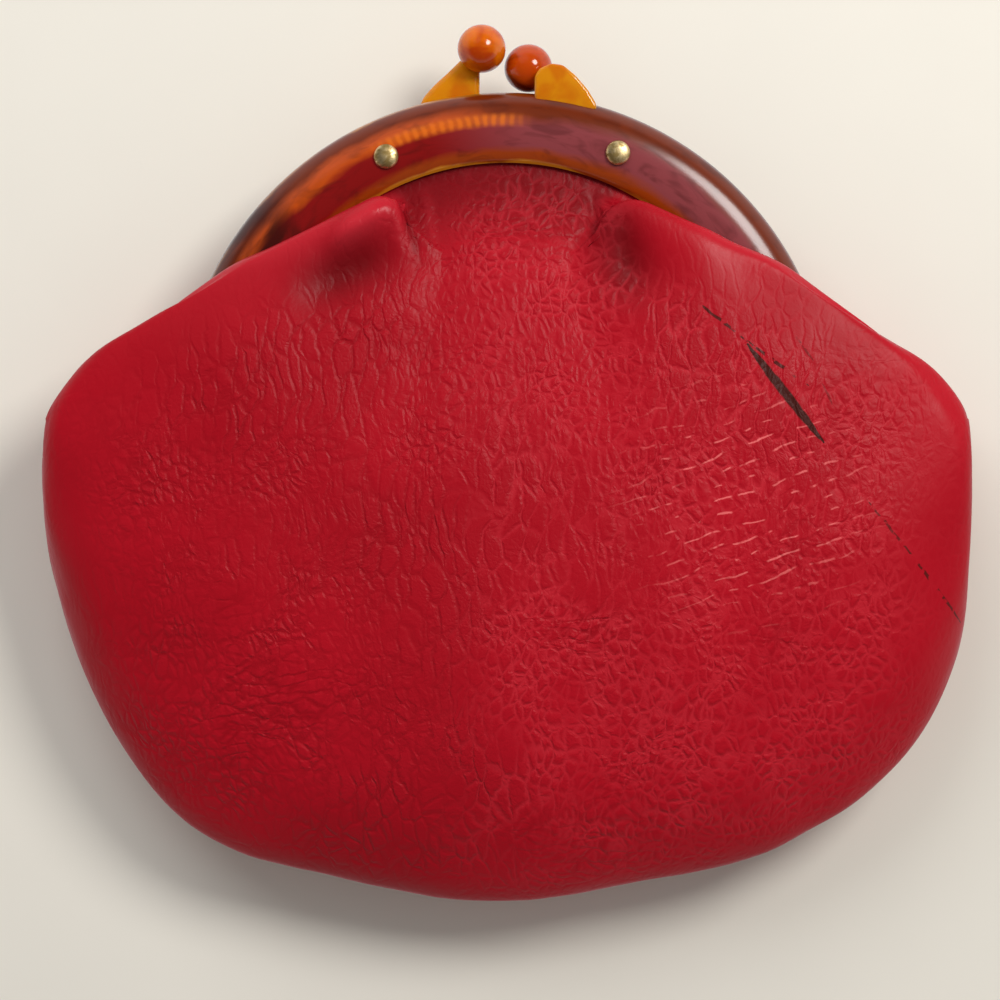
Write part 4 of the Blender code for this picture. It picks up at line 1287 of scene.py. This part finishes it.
def crumple(bm, side):
    """Move the sheet along its normals: broad slack, fine puckers at the neck, and the folds."""
    moves = []
    lying = OVER_FRAME_H + LEATHER
    # Where painted shade goes: the hollows and pleats, and the neck under the frame's lip
    hollows = bm.verts.layers.float.new("painted_shade_share")
    folds = bm.verts.layers.float["wear_and_highlight_share"]
    for vert in bm.verts:
        plan = Vector((vert.co.x, vert.co.y))
        free = smooth_step(lying, lying + LEATHER, abs(vert.co.z - MID_Z))
        if plan.y < 0 or plan.length < FRAME_INNER_R - NECK_STEP * 2:
            free = 1.0
        elif plan.length < FRAME_INNER_R - NECK_STEP:
            inside = (FRAME_INNER_R - NECK_STEP - plan.length) / NECK_STEP
            free += (1.0 - free) * inside
        pucker = Vector((plan.x * PUCKER_WAVES[0], plan.y * PUCKER_WAVES[1], side))
        lift = noise.noise(vert.co * SLACK_WAVES) * SLACK_DEPTH
        lift += noise.noise(pucker) * PUCKER_DEPTH
        if side > 0:
            ridge = 0.0
            for start, end, width, height in FRONT_FOLDS:
                fold = fold_height(plan, start, end, width, height * MM)
                lift += fold
                ridge = max(ridge, fold)
            # Raised ridges are lighter: partly wear, partly painted highlight
            vert[folds] = max(vert[folds], min(ridge / RIDGE_HEIGHT, 1.0))
            # Painted shade in the hollows and pleats
            for start, end, width, shade in PAINTED_SHADE_STROKES:
                vert[hollows] = max(vert[hollows], fold_height(plan, start, end, width, shade))
            # Painted shadow of the frame's lip over the neck
            if plan.y > 0:
                turn_share = abs(math.atan2(plan.x, plan.y)) / LEATHER_END_ANGLE
                painted_lip_shadow = smooth_step(*NECK_SHADE_RADII, plan.length) * NECK_SHADE
                painted_lip_shadow *= smooth_step(*reversed(FOLD_RANGE_SHARES), turn_share)
                vert[hollows] = max(vert[hollows], painted_lip_shadow)
        moves.append(lift * free)
    normals = [vert.normal.copy() for vert in bm.verts]
    for vert, normal, lift in zip(bm.verts, normals, moves):
        if not vert.is_boundary:
            vert.co += normal * lift
        if side < 0:
            vert.co.z = max(vert.co.z, MID_Z - BELLY_DEPTH)
    bm.normal_update()


def thicken_sheet(piece, thickness):
    """Give a sheet its thickness inwards, and note where each point lies on the closed purse."""
    step = piece.modifiers.new("Thickness", "SOLIDIFY")
    step.thickness = thickness
    step.offset = -1.0
    step.use_even_offset = False
    step.use_rim = True
    apply_modifiers(piece)
    mesh = piece.data
    mesh.shade_smooth()
    place = mesh.attributes.new("rest_place", "FLOAT_VECTOR", "POINT")
    for item, vert in zip(place.data, mesh.vertices):
        item.vector = vert.co


def note_grain(piece):
    """Note how strong the grain is: full on the belly, faint on the stretched lobes and edges."""
    mesh = piece.data
    grain = mesh.attributes.new("grain_share", "FLOAT", "POINT")
    for item, vert in zip(grain.data, mesh.vertices):
        aside = abs(vert.co.x)
        edge = smooth_step(*GRAIN_EDGE_H, abs(vert.co.z - MID_Z))
        lobe = smooth_step(*GRAIN_LOBE_R, vert.co.y + aside * GRAIN_LOBE_SLOPE)
        flank = smooth_step(*GRAIN_FLANK_X, aside)
        neck = smooth_step(*GRAIN_NECK_X, aside)
        item.value = GRAIN_FAINT + (1 - GRAIN_FAINT) * min(edge, max(lobe, neck), flank)


def tie_sheet(piece, side, nodes_name):
    """Tie a sheet to the nodes that it stands for, and the front one to both bodies."""
    if side > 0:
        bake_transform(piece, BACK_BODY, FRONT_BODY, start=(0, -BEND_REACH, 0), end=(0, BEND_REACH, 0))
    nodes = [node for node in frame["nodes"] if node.startswith(nodes_name)]
    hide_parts(*nodes)


class PURSE_OT_leather(bpy.types.Operator):
    """Make the front and back leather panels"""

    bl_idname = "purse.leather"
    bl_label = "Leather panels"

    def execute(self, context):
        look = context.scene.purse_leather
        shares = [rib_share(index, LEATHER_RIBS) for index in range(LEATHER_RIBS)]
        for side, half, body in HALVES:
            net = [leather_rib(share, side) for share in shares]
            bm = fine_sheet(net, LEATHER_RIB_STEPS, LEATHER_SPAN_STEPS, side)
            crumple(bm, side)
            name = half + "_panel"
            material = leather_material(name + "_leather", look, side > 0)
            piece = finish_piece(name, bm, material, body if side < 0 else None, "red_leather")
            thicken_sheet(piece, look.thickness)
            note_grain(piece)
            tie_sheet(piece, side, half + "_leather")
        return {"FINISHED"}


class PURSE_OT_lining(bpy.types.Operator):
    """Make the front and back cloth lining"""

    bl_idname = "purse.lining"
    bl_label = "Lining"

    def execute(self, context):
        look = context.scene.purse_lining
        material = cloth_material(look)
        shares = [LINING_REACH_SHARE * (2 * i / (LINING_RIBS - 1) - 1) for i in range(LINING_RIBS)]
        for side, half, body in HALVES:
            net = [lining_rib(share, side) for share in shares]
            bm = fine_sheet(net, LINING_RIB_STEPS, LINING_SPAN_STEPS, side)
            name = half + "_lining_cloth"
            piece = finish_piece(name, bm, material, body if side < 0 else None, "lining_cloth")
            thicken_sheet(piece, look.thickness)
            tie_sheet(piece, side, half + "_lining")
        return {"FINISHED"}


# Frame

def frame_end_angle():
    """Where the ring stops, so that it clears the ears of the other half."""
    mid_r = FRAME_OUTER_R - FRAME_BAND / 2
    return math.acos((EAR_R + HINGE_CLEARANCE) / mid_r)


def ear_start(side):
    """How far from the middle plane the inner face of an ear stands."""
    start = FRAME_INNER_R + EAR_INSET
    return start if side > 0 else start + EAR_WIDTH + SEAT_GAP


def frame_section():
    """The moulding's section: a domed skin, a rounded lip and the channel under it."""
    skin = [
        Vector((FRAME_OUTER_R - inward * FRAME_BAND, height * FRAME_HALF_DEPTH))
        for inward, height in FRAME_SKIN_SHARES
    ]
    points = [(FRAME_OUTER_R - FRAME_EDGE, PARTING_H), (FRAME_OUTER_R, PARTING_H + FRAME_EDGE)]
    for i in range((len(skin) - 1) * SKIN_STEPS + 1):
        spot = spline_point(skin, i / SKIN_STEPS)
        points.append((min(spot.x, FRAME_OUTER_R), min(spot.y, FRAME_HALF_DEPTH)))
    points.append((FRAME_INNER_R, CHANNEL_ROOF_H + FRAME_EDGE))
    points.append((FRAME_INNER_R + FRAME_EDGE, CHANNEL_ROOF_H))
    wall_r = FRAME_OUTER_R - FRAME_WALL
    for i in range(CHANNEL_CORNER_STEPS + 1):
        lean = math.pi / 2 * i / CHANNEL_CORNER_STEPS
        points.append(
            (
                wall_r - CHANNEL_CORNER_R * (1 - math.sin(lean)),
                CHANNEL_ROOF_H - CHANNEL_CORNER_R * (1 - math.cos(lean)),
            )
        )
    points.append((wall_r, PARTING_H + FRAME_EDGE))
    points.append((wall_r + FRAME_EDGE, PARTING_H))
    return points


def block_section():
    """The filling of the channel's end, which reaches half way into its wall and its roof."""
    wall_r = FRAME_OUTER_R - FRAME_WALL / 2
    roof_h = CHANNEL_ROOF_H + FRAME_ROOF / 3
    inner_r = FRAME_INNER_R + SEAT_GAP
    return [(wall_r, PARTING_H), (wall_r, roof_h), (inner_r, roof_h), (inner_r, PARTING_H)]


def make_ear(side, hand):
    """A round ear with a tongue that runs up into the frame's end block."""
    reach = EAR_R + HINGE_CLEARANCE + EAR_R
    start = math.asin(PARTING_H / EAR_R)
    outline = [(reach, PARTING_H)]
    for i in range(EAR_STEPS + 1):
        turn = start - (start + 1.5 * math.pi) * i / EAR_STEPS
        outline.append((EAR_R * math.cos(turn), EAR_R * math.sin(turn)))
    outline.append((reach, EAR_R))
    x = hand * ear_start(side)
    return extrude_outline([(x, y, h) for y, h in outline], Vector((hand * EAR_WIDTH, 0, 0)))


def pin_hole(hand):
    """A bar along the hinge axis, a little wider than the pin."""
    start = Vector((hand * (FRAME_INNER_R - EAR_WIDTH), 0, MID_Z))
    end = Vector((hand * (FRAME_OUTER_R + EAR_WIDTH), 0, MID_Z))
    turn = UP.rotation_difference(end - start).to_matrix().to_4x4()
    bm = bmesh.new()
    bmesh.ops.create_cone(
        bm,
        cap_ends=True,
        segments=PIN_HOLE_SEGMENTS,
        radius1=PIN_R + PIN_GAP,
        radius2=PIN_R + PIN_GAP,
        depth=(end - start).length,
        matrix=Matrix.Translation((start + end) / 2) @ turn,
    )
    return bm


class PURSE_OT_frame(bpy.types.Operator):
    """Make the two moulded frame halves"""

    bl_idname = "purse.frame"
    bl_label = "Frame halves"

    def execute(self, context):
        material = frame_material(context.scene.purse_amber)
        end = frame_end_angle()
        for side, half, body in HALVES:
            ring = place_half(sweep_section(frame_section(), end, FRAME_STEPS), side)
            piece = finish_piece(
                half + "_moulding", ring, material, body, "amber_frame", half + "_frame"
            )
            for hand in (-1, 1):
                block = sweep_section(block_section(), END_BLOCK_ANGLE / 2, END_BLOCK_STEPS)
                turn = Matrix.Rotation(-hand * (end - END_BLOCK_ANGLE * END_RECESS_SHARE), 3, UP)
                bmesh.ops.rotate(block, verts=block.verts, cent=(0, 0, 0), matrix=turn)
                cut_or_join(piece, place_half(block, side), "UNION")
                cut_or_join(piece, place_half(make_ear(side, hand), side), "UNION")
                cut_or_join(piece, pin_hole(hand), "DIFFERENCE")
            shade_round(piece)
        return {"FINISHED"}


# Clasp

def ball_profile():
    """Half a ball's outline, with a small flat at each pole and a mould line round its middle."""
    points = []
    for i in range(BALL_STEPS + 1):
        lean = math.pi * i / BALL_STEPS
        across = BALL_R * math.sin(lean)
        across *= 1.0 + MOULD_LINE_RISE * math.exp(-((lean - math.pi / 2) / MOULD_LINE_TURN) ** 2)
        points.append(Vector((across, 0.0, BALL_R * math.cos(lean) * BALL_FLAT_SHARE)))
    points[0].x = 0.0
    points[-1].x = 0.0
    return points


def make_fin(side, half):
    """A clasp arm: a plate with rounded edges that rises from the frame's outer edge."""
    outline = [
        (ARM_X[half] + side * across * ARM_FOOT, FRAME_OUTER_R + up * ARM_RISE, ARM_START_H)
        for across, up in ARM_SHARES[half]
    ]
    bm = extrude_outline(outline, UP * ARM_DEPTH)
    bmesh.ops.bevel(
        bm,
        geom=list(bm.edges),
        offset=ARM_BEVEL,
        offset_type="OFFSET",
        affect="EDGES",
        segments=5,
        profile=0.5,
        material=-1,
        clamp_overlap=True,
    )
    return place_half(bm, side)


class PURSE_OT_clasp(bpy.types.Operator):
    """Make the clasp's two fins and two balls"""

    bl_idname = "purse.clasp"
    bl_label = "Clasp"

    def execute(self, context):
        look = context.scene.purse_amber
        arm_amber = amber_material("amber_arm", look.pale, look.pale_swirl)
        ball_colours = {"front": (look.deep_ball, look.deep_swirl), "back": (look.ball, look.swirl)}
        for side, half, body in HALVES:
            ball_amber = amber_material(half + "_amber_ball", *ball_colours[half])
            piece = finish_piece(
                half + "_fin", make_fin(side, half), arm_amber, body, "amber_arm", half + "_clasp_arm"
            )
            shade_round(piece)
            ball = turned(ball_profile(), UP, BALL_SEGMENTS)
            centre = (BALL_X[half], FRAME_OUTER_R + BALL_RISE[half], MID_Z - side * BALL_STANDOFF)
            bmesh.ops.translate(ball, verts=ball.verts, vec=centre)
            piece = finish_piece(
                half + "_ball", ball, ball_amber, body, "amber_ball", half + "_clasp_ball"
            )
            shade_round(piece, 60.0)
        return {"FINISHED"}


# Metal

def rivet_profile():
    """Half a rivet's outline: a low round head, the shank and the spread tail."""
    seat_h = FRAME_HALF_DEPTH + SEAT_GAP / 4
    points = []
    for i in range(RIVET_HEAD_STEPS + 1):
        lean = math.pi / 2 * i / RIVET_HEAD_STEPS
        rise = RIVET_HEAD_HEIGHT * math.cos(lean) ** RIVET_CROWN_POWER
        points.append((RIVET_HEAD_R * math.sin(lean) ** RIVET_EDGE_POWER, seat_h + rise))
    points += [
        (RIVET_SHANK_R, seat_h),
        (RIVET_SHANK_R, TAIL_H),
        (RIVET_TAIL_R, TAIL_H),
        (RIVET_TAIL_R, TAIL_H - RIVET_TAIL_LENGTH),
        (0.0, TAIL_H - RIVET_TAIL_LENGTH),
    ]
    return [Vector((radius, 0.0, h)) for radius, h in points]


def pin_profile(hand):
    """Half a pin's outline along the hinge axis, with a bevelled head at each end."""
    inner = ear_start(1) - SEAT_GAP
    outer = ear_start(-1) + EAR_WIDTH + SEAT_GAP
    edge = PIN_HEAD_LENGTH / 3
    profile = (
        (inner - PIN_HEAD_LENGTH, 0.0),
        (inner - PIN_HEAD_LENGTH, PIN_HEAD_R - edge),
        (inner - PIN_HEAD_LENGTH + edge, PIN_HEAD_R),
        (inner, PIN_HEAD_R),
        (inner, PIN_R),
        (outer, PIN_R),
        (outer, PIN_HEAD_R),
        (outer + PIN_HEAD_LENGTH - edge, PIN_HEAD_R),
        (outer + PIN_HEAD_LENGTH, PIN_HEAD_R - edge),
        (outer + PIN_HEAD_LENGTH, 0.0),
    )
    return [Vector((hand * x, 0.0, radius)) for x, radius in profile]


class PURSE_OT_metal(bpy.types.Operator):
    """Make the rivets and hinge pins, and finish the strips"""

    bl_idname = "purse.metal"
    bl_label = "Rivets, pins and strips"

    def execute(self, context):
        look = context.scene.purse_brass
        brass = brass_material(look)
        for side, half, body in HALVES:
            for hand, angle in RIVET_ANGLES.items():
                bm = turned(rivet_profile(), UP, RIVET_SEGMENTS)
                bmesh.ops.translate(bm, verts=bm.verts, vec=at_angle(RIVET_CIRCLE_R, angle))
                node = half + "_rivet_" + hand
                piece = finish_piece(
                    node + "_brass", place_half(bm, side), brass, body, "antique_brass", node
                )
                shade_round(piece)
        for hand, word in ((-1, "left"), (1, "right")):
            bm = turned(pin_profile(hand), Vector((1, 0, 0)), PIN_SEGMENTS)
            bmesh.ops.translate(bm, verts=bm.verts, vec=UP * MID_Z)
            node = "hinge_pin_" + word
            piece = finish_piece(node + "_brass", bm, brass, BACK_BODY, "antique_brass", node)
            shade_round(piece)
        steel = steel_material(look)
        for node in ("front_strip", "back_strip"):
            for place in frame["nodes"][node].material_slots:
                place.material = steel
        return {"FINISHED"}


# Stage

def lay_floor(look):
    """A pale, faintly speckled floor that the purse lies on."""
    made, tree, shader = new_material("pale_floor")
    speckle = noise_of(tree, object_place(tree), 60.0, 3.0)
    dim = [value * 0.97 for value in look.floor]
    feed(tree, shader, {"Base Color": mixed(tree, speckle, dim, look.floor), "Roughness": 0.85})
    bm = bmesh.new()
    bmesh.ops.create_circle(bm, cap_ends=True, segments=FLOOR_SEGMENTS, radius=FLOOR_R)
    bmesh.ops.translate(bm, verts=bm.verts, vec=-UP * SEAT_GAP / 2)
    floor = show("floor", mesh_of("floor", bm))
    floor.data.materials.append(made)
    floor.visible_glossy = False


def light_room(scene, look):
    """Even light on the purse, in a room whose pale walls darken into its ceiling."""
    world = bpy.data.worlds.new("plain_room")
    world.use_nodes = True
    scene.world = world
    tree = world.node_tree
    path = put(tree, "ShaderNodeLightPath").outputs
    seen = path["Is Camera Ray"]
    for ray in ("Is Glossy Ray", "Is Transmission Ray"):
        seen = sum_of(tree, "MAXIMUM", seen, path[ray])
    way = put(tree, "ShaderNodeTexCoord").outputs["Generated"]
    room = between(tree, parts_of(tree, way)["Z"], *WALL_TOP, look.walls, look.ceiling)
    strength = mixed_value(tree, seen, look.ambient, room)
    feed(tree, tree.nodes["Background"], {"Color": (1.0, 1.0, 1.0, 1.0), "Strength": strength})


def hang_lamp(middle, name, way, width, power, colour, mirrored):
    """A round soft lamp, aimed at the middle of the picture."""
    lamp = bpy.data.lights.new(name, "AREA")
    lamp.shape = "DISK"
    lamp.size = width
    lamp.energy = power
    lamp.color = colour
    piece = show(name, lamp)
    piece.location = middle + Vector(way)
    piece.rotation_euler = (middle - piece.location).to_track_quat("-Z", "Y").to_euler()
    piece.visible_glossy = mirrored


def set_camera(scene, look, middle):
    """A camera straight above the middle of the picture."""
    camera = bpy.data.cameras.new("camera")
    camera.lens = camera.sensor_width * look.camera_height / look.view_width
    camera.clip_start = CAMERA_NEAR
    scene.camera = show("camera", camera)
    scene.camera.location = middle + UP * look.camera_height
    scene.view_settings.view_transform = "Standard"


class PURSE_OT_stage(bpy.types.Operator):
    """Make the floor, the lamps, the world and the camera"""

    bl_idname = "purse.stage"
    bl_label = "Stage"

    def execute(self, context):
        look = context.scene.purse_stage
        middle = Vector((look.view_x, look.view_y, MID_Z))
        lay_floor(look)
        light_room(context.scene, look)
        for lamp in LAMPS:
            hang_lamp(middle, *lamp)
        set_camera(context.scene, look, middle)
        return {"FINISHED"}


class PURSE_PT_panel(bpy.types.Panel):
    """The purse's pieces, in the sidebar"""

    bl_label = "Kiss lock purse"
    bl_idname = "PURSE_PT_panel"
    bl_space_type = "VIEW_3D"
    bl_region_type = "UI"
    bl_category = "Purse"

    def draw(self, context):
        for step in STEPS:
            self.layout.operator(step.bl_idname)
        for group_name, group in LOOKS.items():
            box = self.layout.box()
            box.label(text=group.__doc__)
            for prop in group.__annotations__:
                box.prop(getattr(context.scene, group_name), prop)


STEPS = (
    PURSE_OT_stage,
    PURSE_OT_leather,
    PURSE_OT_lining,
    PURSE_OT_frame,
    PURSE_OT_clasp,
    PURSE_OT_metal,
)
LOOKS = {
    "purse_leather": LeatherLook,
    "purse_lining": LiningLook,
    "purse_amber": AmberLook,
    "purse_brass": BrassLook,
    "purse_stage": StageLook,
}


def register():
    for group_name, group in LOOKS.items():
        bpy.utils.register_class(group)
        setattr(bpy.types.Scene, group_name, PointerProperty(type=group))
    for step in STEPS:
        bpy.utils.register_class(step)
    bpy.utils.register_class(PURSE_PT_panel)


def unregister():
    bpy.utils.unregister_class(PURSE_PT_panel)
    for step in reversed(STEPS):
        bpy.utils.unregister_class(step)
    for group_name, group in LOOKS.items():
        delattr(bpy.types.Scene, group_name)
        bpy.utils.unregister_class(group)


def main():
    register()
    bpy.ops.purse.stage()
    bpy.ops.purse.leather()
    bpy.ops.purse.lining()
    bpy.ops.purse.frame()
    bpy.ops.purse.clasp()
    bpy.ops.purse.metal()


if __name__ == "__main__":
    main()
